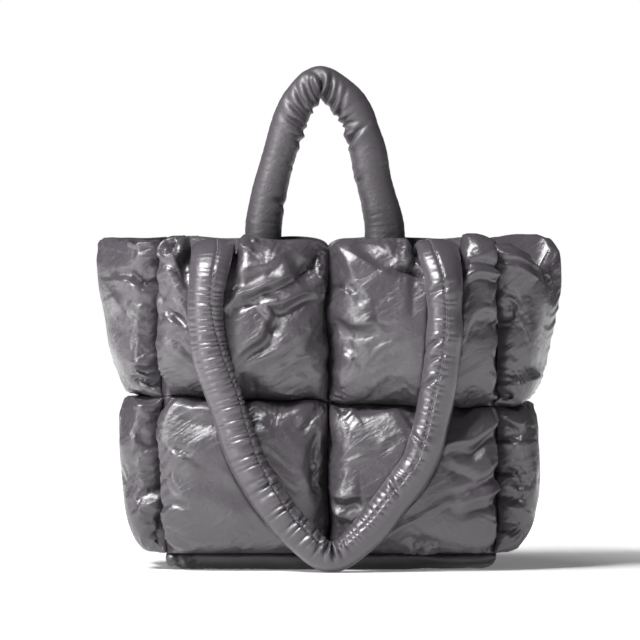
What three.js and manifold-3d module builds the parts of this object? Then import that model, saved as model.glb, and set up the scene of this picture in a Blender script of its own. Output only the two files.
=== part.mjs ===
import * as THREE from 'three';
import Module from 'manifold-3d';

const wasm = await Module();
wasm.setup();

// Body, in millimetres. The front faces -Y, and the walls are measured at their seams.
const panelWidth = 339;
const bodyHeight = 331;
const baseDepth = 128;
const mouthDepth = 112;
const footHeight = 17;
const waistHeight = 167;
const waistDrop = 13;
const leftPullIn = 7;

// How far the middle fold of a gusset stands out past the side seams
const footReach = 4;
const waistReach = 23;
const rimReach = 50;

// Padding, measured outwards from the wall
const seamThickness = 4;
const frontCrown = 40;
const backCrown = 36;
const gussetCrown = 31;
const gussetFoldShare = 0.47;
const gussetFoldWidth = 0.3;
const baseThickness = 16;
const pillowSide = 2.3;
const pillowTop = 3;

// The right gusset's rim slumps on its front half, and its crosswise seam rises to the fold
const rimSlump = 40;
const rightWaistRise = 8;
const leftFootLift = -3;
const rightFootLift = 5;

// Lining
const liningThickness = 1.5;
const liningDrop = 20;
const liningSlack = 1.2;

// Padded tubes, as half widths across and half depths away from the wall
const tubeHalfWidth = 18;
const tubeHalfDepth = 16;
const flatHalfWidth = 22;
const flatHalfDepth = 8;
const strapPress = 7;
const handleRise = 158;
const seatLength = 69;

// Clearance between pieces that touch
const gap = 0.3;

// Facets
const frontCells = 14;
const backCells = 10;
const gussetCells = 10;
const baseCells = 12;
const tubeSides = 10;
const tubeStep = 13;

const halfPanel = panelWidth / 2;
const { lerp, clamp, smoothstep } = THREE.MathUtils;

// Main folds and dents of each padded square: a line from one place to another, as shares of
// the square's width and height from its lower left corner seen from outside, the fold's
// width as a share of the square's width, and its lift as a share of the crown.
const folds = {
  front_upper_left: [
    { fromAcross: 0.44, fromUp: 0.58, toAcross: 0.86, toUp: 0.84, width: 0.07, lift: 0.14 },
    { fromAcross: 0.56, fromUp: 0.58, toAcross: 0.92, toUp: 0.76, width: 0.06, lift: -0.16 },
    { fromAcross: 0.46, fromUp: 0.34, toAcross: 0.9, toUp: 0.68, width: 0.07, lift: 0.14 },
    { fromAcross: 0.94, fromUp: 0.8, toAcross: 0.97, toUp: 0.95, width: 0.09, lift: -0.35 },
    { fromAcross: 0.02, fromUp: 0.62, toAcross: 0.17, toUp: 0.45, width: 0.06, lift: -0.16 },
  ],
  front_upper_right: [
    { fromAcross: 0.36, fromUp: 0.86, toAcross: 0.56, toUp: 0.78, width: 0.06, lift: -0.2 },
    { fromAcross: 0.78, fromUp: 0.77, toAcross: 1, toUp: 0.76, width: 0.06, lift: -0.22 },
    { fromAcross: 0.0, fromUp: 0.68, toAcross: 0.1, toUp: 0.7, width: 0.05, lift: -0.2 },
    { fromAcross: 0.03, fromUp: 0.85, toAcross: 0.12, toUp: 0.98, width: 0.07, lift: 0.1 },
  ],
  front_lower_left: [
    { fromAcross: 0.94, fromUp: 0.37, toAcross: 0.93, toUp: 0.8, width: 0.06, lift: -0.16 },
    { fromAcross: 0.06, fromUp: 0.93, toAcross: 0.9, toUp: 0.93, width: 0.06, lift: 0.1 },
  ],
  front_lower_right: [
    { fromAcross: 0.03, fromUp: 0.38, toAcross: 0.22, toUp: 0.3, width: 0.06, lift: 0.14 },
    { fromAcross: 0.74, fromUp: 0.72, toAcross: 0.99, toUp: 0.92, width: 0.06, lift: -0.12 },
    { fromAcross: 0.82, fromUp: 0.34, toAcross: 0.99, toUp: 0.48, width: 0.06, lift: -0.12 },
  ],
  back_upper_left: [
    { fromAcross: 0.1, fromUp: 0.8, toAcross: 0.5, toUp: 0.66, width: 0.08, lift: 0.12 },
  ],
  back_upper_right: [
    { fromAcross: 0.6, fromUp: 0.8, toAcross: 0.96, toUp: 0.62, width: 0.08, lift: -0.14 },
  ],
  back_lower_left: [
    { fromAcross: 0.04, fromUp: 0.5, toAcross: 0.3, toUp: 0.4, width: 0.08, lift: -0.12 },
  ],
  back_lower_right: [
    { fromAcross: 0.7, fromUp: 0.3, toAcross: 0.97, toUp: 0.4, width: 0.08, lift: 0.12 },
  ],
  left_gusset_upper: [
    { fromAcross: 0.75, fromUp: 0.76, toAcross: 1, toUp: 0.64, width: 0.07, lift: 0.14 },
    { fromAcross: 0.62, fromUp: 0.12, toAcross: 1, toUp: 0.05, width: 0.06, lift: -0.2 },
  ],
  left_gusset_lower: [
    { fromAcross: 0.9, fromUp: 0.04, toAcross: 0.97, toUp: 0.28, width: 0.07, lift: -0.3 },
  ],
  right_gusset_upper: [
    { fromAcross: 0.08, fromUp: 0.1, toAcross: 0.04, toUp: 0.75, width: 0.07, lift: -0.3 },
    { fromAcross: 0.05, fromUp: 0.92, toAcross: 0.4, toUp: 0.7, width: 0.06, lift: -0.12 },
  ],
  right_gusset_lower: [
    { fromAcross: 0.02, fromUp: 0.8, toAcross: 0.3, toUp: 0.86, width: 0.06, lift: -0.15 },
  ],
};

// How far the right gusset's rim has slumped, from its front seam to its back seam
const slumpShares = [
  { along: 0, slump: 0 },
  { along: 0.12, slump: 0.06 },
  { along: 0.3, slump: 0.36 },
  { along: 0.42, slump: 0.72 },
  { along: 0.5, slump: 1 },
  { along: 0.6, slump: 0.4 },
  { along: 0.7, slump: 0 },
  { along: 1, slump: 0 },
];

// The strap's route from its left inner end over the rim, down the front and back up. across is
// a share of half the panel, up a share of the way to the rim, off how far it stands in front
// of the wall (1 lies on the puffs, -1 against the lining), flat how flattened it is, and width
// its fullness.
const strapRoute = [
  { across: -0.66, up: 0.82, off: -1, flat: 1, width: 1 },
  { across: -0.67, up: 0.93, off: -1, flat: 1, width: 1 },
  { across: -0.675, up: 0.985, off: -0.6, flat: 1, width: 1 },
  { across: -0.68, up: 1, off: 0.22, flat: 1, width: 1 },
  { across: -0.685, up: 0.975, off: 0.72, flat: 0.75, width: 1 },
  { across: -0.705, up: 0.91, off: 0.98, flat: 0.3, width: 1 },
  { across: -0.722, up: 0.83, off: 1, flat: 0, width: 1 },
  { across: -0.705, up: 0.695, off: 1, flat: 0, width: 1 },
  { across: -0.665, up: 0.617, off: 1, flat: 0, width: 1 },
  { across: -0.61, up: 0.537, off: 0.98, flat: 0, width: 1 },
  { across: -0.48, up: 0.342, off: 1, flat: 0, width: 1 },
  { across: -0.333, up: 0.215, off: 1, flat: 0, width: 1 },
  { across: -0.19, up: 0.125, off: 0.97, flat: 0, width: 0.96 },
  { across: 0.012, up: 0.0455, off: 0.93, flat: 0, width: 0.8 },
  { across: 0.21, up: 0.115, off: 0.97, flat: 0, width: 0.96 },
  { across: 0.36, up: 0.213, off: 1, flat: 0, width: 1 },
  { across: 0.534, up: 0.342, off: 1, flat: 0, width: 1 },
  { across: 0.634, up: 0.537, off: 0.98, flat: 0, width: 1 },
  { across: 0.662, up: 0.633, off: 1, flat: 0, width: 1 },
  { across: 0.68, up: 0.74, off: 1, flat: 0, width: 1 },
  { across: 0.68, up: 0.83, off: 1, flat: 0, width: 1 },
  { across: 0.672, up: 0.91, off: 0.98, flat: 0.3, width: 1 },
  { across: 0.648, up: 0.975, off: 0.72, flat: 0.75, width: 1 },
  { across: 0.636, up: 1, off: 0.22, flat: 1, width: 1 },
  { across: 0.63, up: 0.985, off: -0.6, flat: 1, width: 1 },
  { across: 0.625, up: 0.93, off: -1, flat: 1, width: 1 },
  { across: 0.62, up: 0.82, off: -1, flat: 1, width: 1 },
];

// The handle's route above the rim. across is a share of half the panel, up a share of the
// handle's rise, and width its fullness, pinched at the top.
const handleRoute = [
  { across: -0.389, up: 0, width: 1.02 },
  { across: -0.386, up: 0.085, width: 1.02 },
  { across: -0.363, up: 0.243, width: 1 },
  { across: -0.327, up: 0.402, width: 0.94 },
  { across: -0.286, up: 0.56, width: 0.93 },
  { across: -0.25, up: 0.687, width: 0.98 },
  { across: -0.22, up: 0.782, width: 0.96 },
  { across: -0.168, up: 0.885, width: 0.95 },
  { across: -0.052, up: 1, width: 0.88 },
  { across: 0.1, up: 0.885, width: 0.97 },
  { across: 0.172, up: 0.782, width: 0.97 },
  { across: 0.2, up: 0.687, width: 0.99 },
  { across: 0.236, up: 0.56, width: 1 },
  { across: 0.262, up: 0.402, width: 1.04 },
  { across: 0.3, up: 0.243, width: 1 },
  { across: 0.333, up: 0.085, width: 1.12 },
  { across: 0.337, up: 0, width: 1.14 },
];

// Distance from the middle plane of the bag to the front or back wall
function wallDepth(z) {
  return lerp(baseDepth, mouthDepth, z / bodyHeight) / 2;
}

// Distance from the middle of the bag to the seam between a wall and a gusset
function sideSeam(side, z) {
  const pullIn = side < 0 ? leftPullIn : 0;
  return halfPanel - pullIn * (1 - smoothstep(z, footHeight * 2, waistHeight));
}

// Height of the crosswise seam, which slopes down to the right
function waistAt(x) {
  return waistHeight - waistDrop * x / panelWidth;
}

// Share of the full padding at one share of the way across a padded square
function pillow(share) {
  const fromMiddle = Math.min(1, Math.abs(2 * share - 1));
  return (1 - fromMiddle ** pillowSide) ** (1 / pillowTop);
}

// Lift of all the folds of one padded square at a place on it, as a share of the crown
function foldLift(rows, across, up) {
  let lift = 0;
  for (const row of rows) {
    const alongAcross = row.toAcross - row.fromAcross;
    const alongUp = row.toUp - row.fromUp;
    const lengthSquared = alongAcross ** 2 + alongUp ** 2;
    const toPlace = (across - row.fromAcross) * alongAcross + (up - row.fromUp) * alongUp;
    const nearest = clamp(toPlace / lengthSquared, 0, 1);
    const aside = across - row.fromAcross - alongAcross * nearest;
    const above = up - row.fromUp - alongUp * nearest;
    lift += row.lift * Math.exp(-(aside ** 2 + above ** 2) / row.width ** 2);
  }
  return lift;
}

// Thickness of a padded square at a place on it
function padding(crown, rows, across, up) {
  const full = pillow(across) * pillow(up);
  return seamThickness + crown * full * (1 + foldLift(rows, across, up));
}

// Value of one column of a table, read between its rows
function readTable(rows, keyColumn, valueColumn, key) {
  const next = rows.findIndex((row) => row[keyColumn] >= key);
  if (next <= 0) return rows[0][valueColumn];
  const low = rows[next - 1];
  const high = rows[next];
  const share = (key - low[keyColumn]) / (high[keyColumn] - low[keyColumn]);
  return lerp(low[valueColumn], high[valueColumn], share);
}

// Shares from 0 to 1, closer together near the seams where a padded square curves most
function seamShares(cells) {
  return Array.from({ length: cells + 1 }, (_, i) => (1 - Math.cos(Math.PI * i / cells)) / 2);
}

function geometryFrom(points, triangles) {
  const geometry = new THREE.BufferGeometry();
  geometry.setAttribute('position', new THREE.Float32BufferAttribute(points.flat(), 3));
  geometry.setIndex(triangles.flat());
  geometry.computeVertexNormals();
  return geometry;
}

// A closed padded square. wall(across, up) gives a place on its inner face and the direction
// that it swells in, and thickness(across, up) gives how far it swells there.
function paddedSquare(wall, thickness, cellsAcross, cellsUp) {
  const sharesAcross = seamShares(cellsAcross);
  const sharesUp = seamShares(cellsUp);
  const points = [];
  const triangles = [];
  const layers = [0, 1];
  for (const layer of layers) {
    for (const up of sharesUp) {
      for (const across of sharesAcross) {
        const { place, out } = wall(across, up);
        const swell = layer * thickness(across, up);
        points.push(place.clone().addScaledVector(out, swell).toArray());
      }
    }
  }
  const rowLength = cellsAcross + 1;
  const at = (layer, i, j) => (layer * (cellsUp + 1) + j) * rowLength + i;
  const quad = (a, b, c, d) => triangles.push([a, b, c], [a, c, d]);
  for (let j = 0; j < cellsUp; j += 1) {
    for (let i = 0; i < cellsAcross; i += 1) {
      quad(at(1, i, j), at(1, i + 1, j), at(1, i + 1, j + 1), at(1, i, j + 1));
      quad(at(0, i, j), at(0, i, j + 1), at(0, i + 1, j + 1), at(0, i + 1, j));
    }
  }
  for (let i = 0; i < cellsAcross; i += 1) {
    quad(at(0, i, 0), at(0, i + 1, 0), at(1, i + 1, 0), at(1, i, 0));
    quad(at(0, i + 1, cellsUp), at(0, i, cellsUp), at(1, i, cellsUp), at(1, i + 1, cellsUp));
  }
  for (let j = 0; j < cellsUp; j += 1) {
    quad(at(0, 0, j + 1), at(0, 0, j), at(1, 0, j), at(1, 0, j + 1));
    quad(at(0, cellsAcross, j), at(0, cellsAcross, j + 1),
      at(1, cellsAcross, j + 1), at(1, cellsAcross, j));
  }
  return geometryFrom(points, triangles);
}

// A tube with rounded-flat sections through a list of rings, closed at both ends
function paddedTube(rings, grow) {
  const points = [];
  const triangles = [];
  let away = rings[0].away.clone();
  rings.forEach((ring, index) => {
    const before = rings[Math.max(0, index - 1)].centre;
    const after = rings[Math.min(rings.length - 1, index + 1)].centre;
    const along = after.clone().sub(before).normalize();
    away.addScaledVector(along, -away.dot(along)).normalize();
    const aside = new THREE.Vector3().crossVectors(along, away);
    for (let i = 0; i < tubeSides; i += 1) {
      const angle = 2 * Math.PI * i / tubeSides;
      const point = ring.centre.clone();
      point.addScaledVector(aside, Math.cos(angle) * (ring.halfWidth + grow));
      point.addScaledVector(away, Math.sin(angle) * (ring.halfDepth + grow));
      points.push(point.toArray());
    }
  });
  const at = (ring, i) => ring * tubeSides + i % tubeSides;
  for (let ring = 0; ring < rings.length - 1; ring += 1) {
    for (let i = 0; i < tubeSides; i += 1) {
      triangles.push([at(ring, i), at(ring + 1, i + 1), at(ring, i + 1)]);
      triangles.push([at(ring, i), at(ring + 1, i), at(ring + 1, i + 1)]);
    }
  }
  const last = rings.length - 1;
  for (let i = 1; i < tubeSides - 1; i += 1) {
    triangles.push([at(0, 0), at(0, i), at(0, i + 1)]);
    triangles.push([at(last, 0), at(last, i + 1), at(last, i)]);
  }
  return geometryFrom(points, triangles);
}

// Rings at even steps along a smooth curve through the route's places
function ringsAlong(stations) {
  const curve = new THREE.CatmullRomCurve3(stations.map((station) => station.centre));
  const steps = Math.round(curve.getLength() / tubeStep);
  const rings = [];
  for (let i = 0; i <= steps; i += 1) {
    const along = curve.getUtoTmapping(i / steps) * (stations.length - 1);
    const low = stations[Math.floor(Math.min(along, stations.length - 2))];
    const high = stations[Math.floor(Math.min(along, stations.length - 2)) + 1];
    const share = along - Math.floor(Math.min(along, stations.length - 2));
    rings.push({
      centre: curve.getPointAt(i / steps),
      halfWidth: lerp(low.halfWidth, high.halfWidth, share),
      halfDepth: lerp(low.halfDepth, high.halfDepth, share),
    });
  }
  rings[0].away = stations[0].away;
  return rings;
}

function toSolid(geometry) {
  return new wasm.Manifold(new wasm.Mesh({
    numProp: 3,
    vertProperties: geometry.getAttribute('position').array,
    triVerts: Uint32Array.from(geometry.getIndex().array),
  }));
}

// A piece with the space of another cut out of it. A crumb that the cut leaves loose goes too.
function pressedBy(geometry, space) {
  const parts = toSolid(geometry).subtract(toSolid(space)).decompose();
  const mesh = parts.reduce((a, b) => (a.volume() > b.volume() ? a : b)).getMesh();
  const cut = new THREE.BufferGeometry();
  cut.setAttribute('position', new THREE.BufferAttribute(mesh.vertProperties, 3));
  cut.setIndex(new THREE.BufferAttribute(mesh.triVerts, 1));
  cut.computeVertexNormals();
  return cut;
}

// The strap
const liningStand = gap + liningThickness + gap;
const strapStand = seamThickness + frontCrown + tubeHalfDepth - strapPress;

function strapStation(row) {
  const z = row.up * (bodyHeight - flatHalfDepth);
  const inside = liningStand + flatHalfDepth;
  const stand = row.off > 0 ? row.off * strapStand : row.off * inside;
  return {
    centre: new THREE.Vector3(row.across * halfPanel, -(wallDepth(z) + stand), z),
    halfWidth: lerp(tubeHalfWidth, flatHalfWidth, row.flat) * row.width,
    halfDepth: lerp(tubeHalfDepth, flatHalfDepth, row.flat),
    away: new THREE.Vector3(0, 1, 0),
  };
}

const strapRings = ringsAlong(strapRoute.map(strapStation));
const strapGeometry = paddedTube(strapRings, 0);
const strapSpace = paddedTube(strapRings, gap);

// The handle, sewn flat inside the back wall and round above the rim
function handleSeat(across, share) {
  const z = bodyHeight - seatLength * share;
  const flat = smoothstep(share, 0, 0.7);
  const halfDepth = lerp(tubeHalfDepth, flatHalfDepth, flat);
  return {
    centre: new THREE.Vector3(across * halfPanel, wallDepth(z) - liningStand - halfDepth, z),
    halfWidth: lerp(tubeHalfWidth, flatHalfWidth, flat),
    halfDepth,
    away: new THREE.Vector3(0, -1, 0),
  };
}

function handleStation(row) {
  const y = wallDepth(bodyHeight) - liningStand - tubeHalfDepth;
  return {
    centre: new THREE.Vector3(row.across * halfPanel, y, bodyHeight + row.up * handleRise),
    halfWidth: tubeHalfWidth * row.width,
    halfDepth: tubeHalfDepth,
  };
}

const seatShares = [1, 0.6, 0.25];
const firstLeg = handleRoute[0].across;
const lastLeg = handleRoute[handleRoute.length - 1].across;
const handleStations = [
  ...seatShares.map((share) => handleSeat(firstLeg, share)),
  ...handleRoute.map(handleStation),
  ...seatShares.toReversed().map((share) => handleSeat(lastLeg, share)),
];
const handleGeometry = paddedTube(ringsAlong(handleStations), 0);

// The rim of the front wall dips where the strap comes over it
const rimCrossings = strapRoute.filter((row) => row.up === 1).map((row) => row.across * halfPanel);

function frontRim(x) {
  let dip = 0;
  for (const crossing of rimCrossings) {
    dip += 1 - smoothstep(Math.abs(x - crossing), flatHalfWidth * 0.9, flatHalfWidth * 2);
  }
  return bodyHeight - dip * (2 * flatHalfDepth + gap);
}

function plainRim() {
  return bodyHeight;
}

// One padded square of the front wall, or of the back wall, seen from outside. half is -1 for
// its left half and 1 for its right half as the front sees them.
function wallSquare(facing, half, level, rim) {
  return (across, up) => {
    const outward = facing * half > 0 ? across : 1 - across;
    const along = half * lerp(gap / 2, halfPanel - gap / 2, outward);
    const low = level === 'lower' ? footHeight : waistAt(along) + gap / 2;
    const high = level === 'lower' ? waistAt(along) - gap / 2 : rim(along);
    const z = lerp(low, high, up);
    const x = along * sideSeam(half, z) / halfPanel;
    const place = new THREE.Vector3(x, -facing * wallDepth(z), z);
    return { place, out: new THREE.Vector3(0, -facing, 0) };
  };
}

// Height of a gusset's seams and rim, from its front seam to its back seam
function gussetWaist(side, along) {
  const rise = side > 0 ? rightWaistRise : 0;
  return waistAt(side * halfPanel) + rise * (1 - Math.abs(2 * along - 1));
}

function gussetRim(side, along) {
  const slump = side > 0 ? readTable(slumpShares, 'along', 'slump', along) : 0;
  return bodyHeight - rimSlump * slump;
}

function gussetFoot(side, along) {
  const lift = side > 0 ? rightFootLift : leftFootLift;
  return footHeight + lift * (1 - Math.abs(2 * along - 1));
}

// A place on a gusset's inner face, and the direction that the gusset swells in there
function gussetPlace(side, along, z) {
  const waist = gussetWaist(side, along);
  const foot = gussetFoot(side, along);
  const upper = lerp(waistReach, rimReach, (z - waist) / (bodyHeight - waist));
  const lower = lerp(footReach, waistReach, (z - foot) / (waist - foot));
  const reach = z > waist ? upper : lower;
  const toSeam = 2 * along - 1;
  const x = sideSeam(side, z) + reach * (1 - Math.abs(toSeam));
  const place = new THREE.Vector3(side * x, wallDepth(z) * toSeam, z);
  const turn = clamp(toSeam / gussetFoldWidth, -1, 1);
  const out = new THREE.Vector3(side * wallDepth(z), reach * turn, 0).normalize();
  return { place, out };
}

function gussetSquare(side, level) {
  return (across, up) => {
    const inset = gap / baseDepth;
    const along = lerp(inset, 1 - inset, side > 0 ? across : 1 - across);
    const waist = gussetWaist(side, along);
    const low = level === 'lower' ? gussetFoot(side, along) : waist + gap / 2;
    const high = level === 'lower' ? waist - gap / 2 : gussetRim(side, along);
    const { place, out } = gussetPlace(side, along, lerp(low, high, up));
    place.x += side * gap / 2;
    return { place, out };
  };
}

// A gusset is less padded along its middle fold
function gussetPadding(rows, across, up) {
  const fromFold = (2 * across - 1) / gussetFoldWidth;
  const crease = (1 - gussetFoldShare) * Math.exp(-(fromFold ** 2));
  return padding(gussetCrown * (1 - crease), rows, across, up);
}

function baseSquare(across, up) {
  const x = lerp(-1, 1, across) * (sideSeam(-1, 0) - gap);
  const y = lerp(1, -1, up) * (wallDepth(0) - 2 * gap);
  return { place: new THREE.Vector3(x, y, baseThickness), out: new THREE.Vector3(0, 0, -1) };
}

// The base is flat where the bag rests on it
function basePadding(across, up) {
  const full = 1.35 * baseThickness * pillow(across) * pillow(up);
  return Math.min(baseThickness, seamThickness + full);
}

// The lining follows the inside of the walls a little way in, from the base to below the rim
const liningColumns = [
  { side: -1, along: 0 },
  { side: 1, along: 0 },
  { side: 1, along: 0.25 },
  { side: 1, along: 0.5 },
  { side: 1, along: 0.75 },
  { side: 1, along: 1 },
  { side: -1, along: 1 },
  { side: -1, along: 0.75 },
  { side: -1, along: 0.5 },
  { side: -1, along: 0.25 },
];
const liningLowerRows = 4;
const liningUpperRows = 6;

function liningPoint(column, row, layer) {
  const { side, along } = column;
  const floor = baseThickness + gap;
  const waist = gussetWaist(side, along);
  const rim = gussetRim(side, along) - liningDrop;
  const lower = lerp(floor, waist, row / liningLowerRows);
  const upper = lerp(waist, rim, (row - liningLowerRows) / liningUpperRows);
  const z = row <= liningLowerRows ? lower : upper;
  const { place } = gussetPlace(side, along, z);
  const thickness = layer * liningThickness;
  place.x -= side * (liningSlack + thickness * 1.2);
  place.y -= Math.sign(place.y) * (gap + thickness) * Math.abs(2 * along - 1);
  if (row === 0) place.z += thickness;
  return place.toArray();
}

function liningGeometry() {
  const rows = liningLowerRows + liningUpperRows;
  const count = liningColumns.length;
  const points = [];
  const triangles = [];
  for (const layer of [0, 1]) {
    for (let row = 0; row <= rows; row += 1) {
      for (const column of liningColumns) points.push(liningPoint(column, row, layer));
    }
  }
  const at = (layer, row, i) => (layer * (rows + 1) + row) * count + i % count;
  const quad = (a, b, c, d) => triangles.push([a, b, c], [a, c, d]);
  for (let i = 0; i < count; i += 1) {
    for (let row = 0; row < rows; row += 1) {
      quad(at(0, row, i), at(0, row, i + 1), at(0, row + 1, i + 1), at(0, row + 1, i));
      quad(at(1, row, i), at(1, row + 1, i), at(1, row + 1, i + 1), at(1, row, i + 1));
    }
    quad(at(0, rows, i), at(0, rows, i + 1), at(1, rows, i + 1), at(1, rows, i));
  }
  for (const layer of [0, 1]) {
    const middle = points.length;
    const height = baseThickness + gap + layer * liningThickness;
    points.push([0, 0, height]);
    for (let i = 0; i < count; i += 1) {
      const near = at(layer, 0, i);
      const far = at(layer, 0, i + 1);
      triangles.push(layer ? [middle, near, far] : [middle, far, near]);
    }
  }
  return geometryFrom(points, triangles);
}

const outerCloth = { color: 0x6c696e, roughness: 0.34, metalness: 0 };
const liningCloth = { color: 0x4a4546, roughness: 0.6, metalness: 0 };

const bag = new THREE.Group();

function addPiece(name, geometry, finish) {
  const piece = new THREE.Mesh(geometry, new THREE.MeshStandardMaterial(finish));
  piece.name = name;
  bag.add(piece);
}

const walls = [
  { wall: 'front', facing: 1, crown: frontCrown, cells: frontCells, rim: frontRim },
  { wall: 'back', facing: -1, crown: backCrown, cells: backCells, rim: plainRim },
];
const halves = [{ half: -1, hand: 'left' }, { half: 1, hand: 'right' }];
const levels = ['upper', 'lower'];

for (const { wall, facing, crown, cells, rim } of walls) {
  for (const { half, hand } of halves) {
    for (const level of levels) {
      const rows = folds[`${wall}_${level}_${hand}`];
      const thickness = (across, up) => padding(crown, rows, across, up);
      const square = paddedSquare(wallSquare(facing, half, level, rim), thickness, cells, cells);
      const piece = facing > 0 ? pressedBy(square, strapSpace) : square;
      addPiece(`${wall}_${level}_${hand}_puff`, piece, outerCloth);
    }
  }
}

for (const { half, hand } of halves) {
  for (const level of levels) {
    const rows = folds[`${hand}_gusset_${level}`];
    const thickness = (across, up) => gussetPadding(rows, across, up);
    const square = paddedSquare(gussetSquare(half, level), thickness, gussetCells, gussetCells);
    addPiece(`${hand}_gusset_${level}_puff`, square, outerCloth);
  }
}

addPiece('base_puff', paddedSquare(baseSquare, basePadding, baseCells, baseCells), outerCloth);
addPiece('lining', pressedBy(liningGeometry(), strapSpace), liningCloth);
addPiece('front_strap', strapGeometry, outerCloth);
addPiece('back_handle', handleGeometry, outerCloth);

// The origin is the middle of the footprint, on the surface that the bag stands on
const box = new THREE.Box3().setFromObject(bag);
const middle = box.getCenter(new THREE.Vector3());
bag.position.set(-middle.x, -middle.y, -box.min.z);

export default bag;
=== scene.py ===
"""A padded, quilted tote bag: each square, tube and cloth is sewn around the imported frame."""
import math

import bpy
import numpy as np
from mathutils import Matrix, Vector


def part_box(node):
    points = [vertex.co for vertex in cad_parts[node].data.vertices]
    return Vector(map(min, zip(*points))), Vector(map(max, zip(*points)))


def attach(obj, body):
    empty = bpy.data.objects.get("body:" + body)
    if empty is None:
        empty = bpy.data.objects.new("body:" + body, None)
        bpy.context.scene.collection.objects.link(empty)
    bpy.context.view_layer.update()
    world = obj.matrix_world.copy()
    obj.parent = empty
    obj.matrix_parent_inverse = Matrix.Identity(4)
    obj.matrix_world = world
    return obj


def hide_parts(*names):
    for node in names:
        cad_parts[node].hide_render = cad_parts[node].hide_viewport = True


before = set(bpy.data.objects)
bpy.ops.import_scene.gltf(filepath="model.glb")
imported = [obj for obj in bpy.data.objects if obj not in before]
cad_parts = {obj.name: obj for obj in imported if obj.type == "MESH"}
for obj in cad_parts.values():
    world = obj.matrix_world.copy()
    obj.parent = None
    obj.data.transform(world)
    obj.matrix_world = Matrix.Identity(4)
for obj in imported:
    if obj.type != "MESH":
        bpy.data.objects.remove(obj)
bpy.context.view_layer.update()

bl_info = {
    "name": "Padded Tote Bag",
    "version": (1, 0, 0),
    "blender": (4, 5, 0),
    "location": "View3D > Sidebar > Tote Bag",
    "description": "Sews a quilted tote bag of padded cloth squares with a strap and a handle",
    "category": "Add Mesh",
}

MM = 0.001
GAP = 0.3 * MM
SEAM_GAP = 0.04 * MM


def box_of(node):
    """Lowest and highest corner of a frame node, as arrays in metres."""
    low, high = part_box(node)
    return np.array(low), np.array(high)


# Places of the seams, read from the frame
FRONT_UL = box_of("front_upper_left_puff")
FRONT_UR = box_of("front_upper_right_puff")
FRONT_LL = box_of("front_lower_left_puff")
BACK_UL = box_of("back_upper_left_puff")
BASE = box_of("base_puff")
MIDDLE_X = (FRONT_UL[1][0] + FRONT_UR[0][0]) / 2
MIDDLE_Y = (BASE[0][1] + BASE[1][1]) / 2
HALF_PANEL = FRONT_UR[1][0] + GAP / 2 - MIDDLE_X
RIM = BACK_UL[1][2]
FOOT = FRONT_LL[0][2]
WAIST_LEFT = FRONT_LL[1][2] + GAP / 2
WAIST_RIGHT = FRONT_UR[0][2] - GAP / 2
RIM_DEPTH = MIDDLE_Y - FRONT_UL[1][1]
BASE_DEPTH = BASE[1][1] - MIDDLE_Y + 2 * GAP
BASE_TOP = BASE[1][2]
LEVELS = {"upper": RIM - WAIST_LEFT, "lower": WAIST_LEFT - FOOT}
HANDLE_RISE = 158 * MM

# Shape of the walls between their seams
LEFT_PULL_IN = 7 * MM
FOOT_REACH = 4 * MM
WAIST_REACH = 23 * MM
RIM_REACH = 50 * MM
RIM_SLUMP = 40 * MM
RIGHT_WAIST_RISE = 8 * MM
FOOT_LIFT = {-1: -3 * MM, 1: 5 * MM}
SEAM_THICKNESS = 4 * MM
FOLD_WIDTH = 0.3
LOBE_REACH = 30 * MM
SEAM_TUCK = 12 * MM
SEAM_LEAN = 6 * MM
LOWER_LEFT_LEAN = 4 * MM
PILLOW_SIDE = 2.9
PILLOW_TOP = 3
FLAT_HALF_WIDTH = 22 * MM
FLAT_HALF_DEPTH = 8 * MM
TUBE_HALF_WIDTH = 18 * MM
TUBE_HALF_DEPTH = 16 * MM
STRAP_PRESS = 7 * MM
LINING_STAND = 1.5 * MM + 2 * GAP
SEAT_LENGTH = 69 * MM

# Filling: cells across a square while it is filled, steps of the filling, how much larger the
# cloth is cut, and how far it may move
FILL_CELLS = 56
FILL_STEPS = 22
WALL_GROWTH, WALL_SWELL = 0.018, 5.5 * MM
GUSSET_GROWTH, GUSSET_SWELL = 0.012, 4 * MM

# Folds, gathers and pulls of the outer cloth, and how the seams wander: pitch and height
FOLD_HEIGHT = 1.45
GATHER_PITCH = 14 * MM
PULL_PITCH, PULL_HEIGHT, PULL_STRETCH = 21 * MM, 1.7 * MM, 6
LUMP_PITCH, LUMP_HEIGHT = 62 * MM, 0.8 * MM
WIDE_PITCH, WIDE_WANDER = 62 * MM, 2.8 * MM
FINE_PITCH, FINE_WANDER = 22 * MM, 0.7 * MM

# Studio: name, place, width and height in metres, and power in watts of each light
LIGHTS = [
    ("key", (-1.05, -0.98, 1.9), 0.9, 0.45, 78),
    ("side", (-1.7, -1.5, 0.75), 0.4, 1.3, 19),
    ("fill", (2.1, -1.5, 0.7), 1.2, 1.4, 2),
]
ROOM_LIGHT = 0.05
FLOOR_REACH = 5.0
# The floor's glow is painted light: it rises from 0.15 at GLOW_FROM metres from the middle to 1 at
# GLOW_TO, which whitens the floor and lightens the bag's cast shadow.
FLOOR_GLOW = (0.15, 1)
GLOW_FROM, GLOW_TO = 0.26, 0.85


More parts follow.
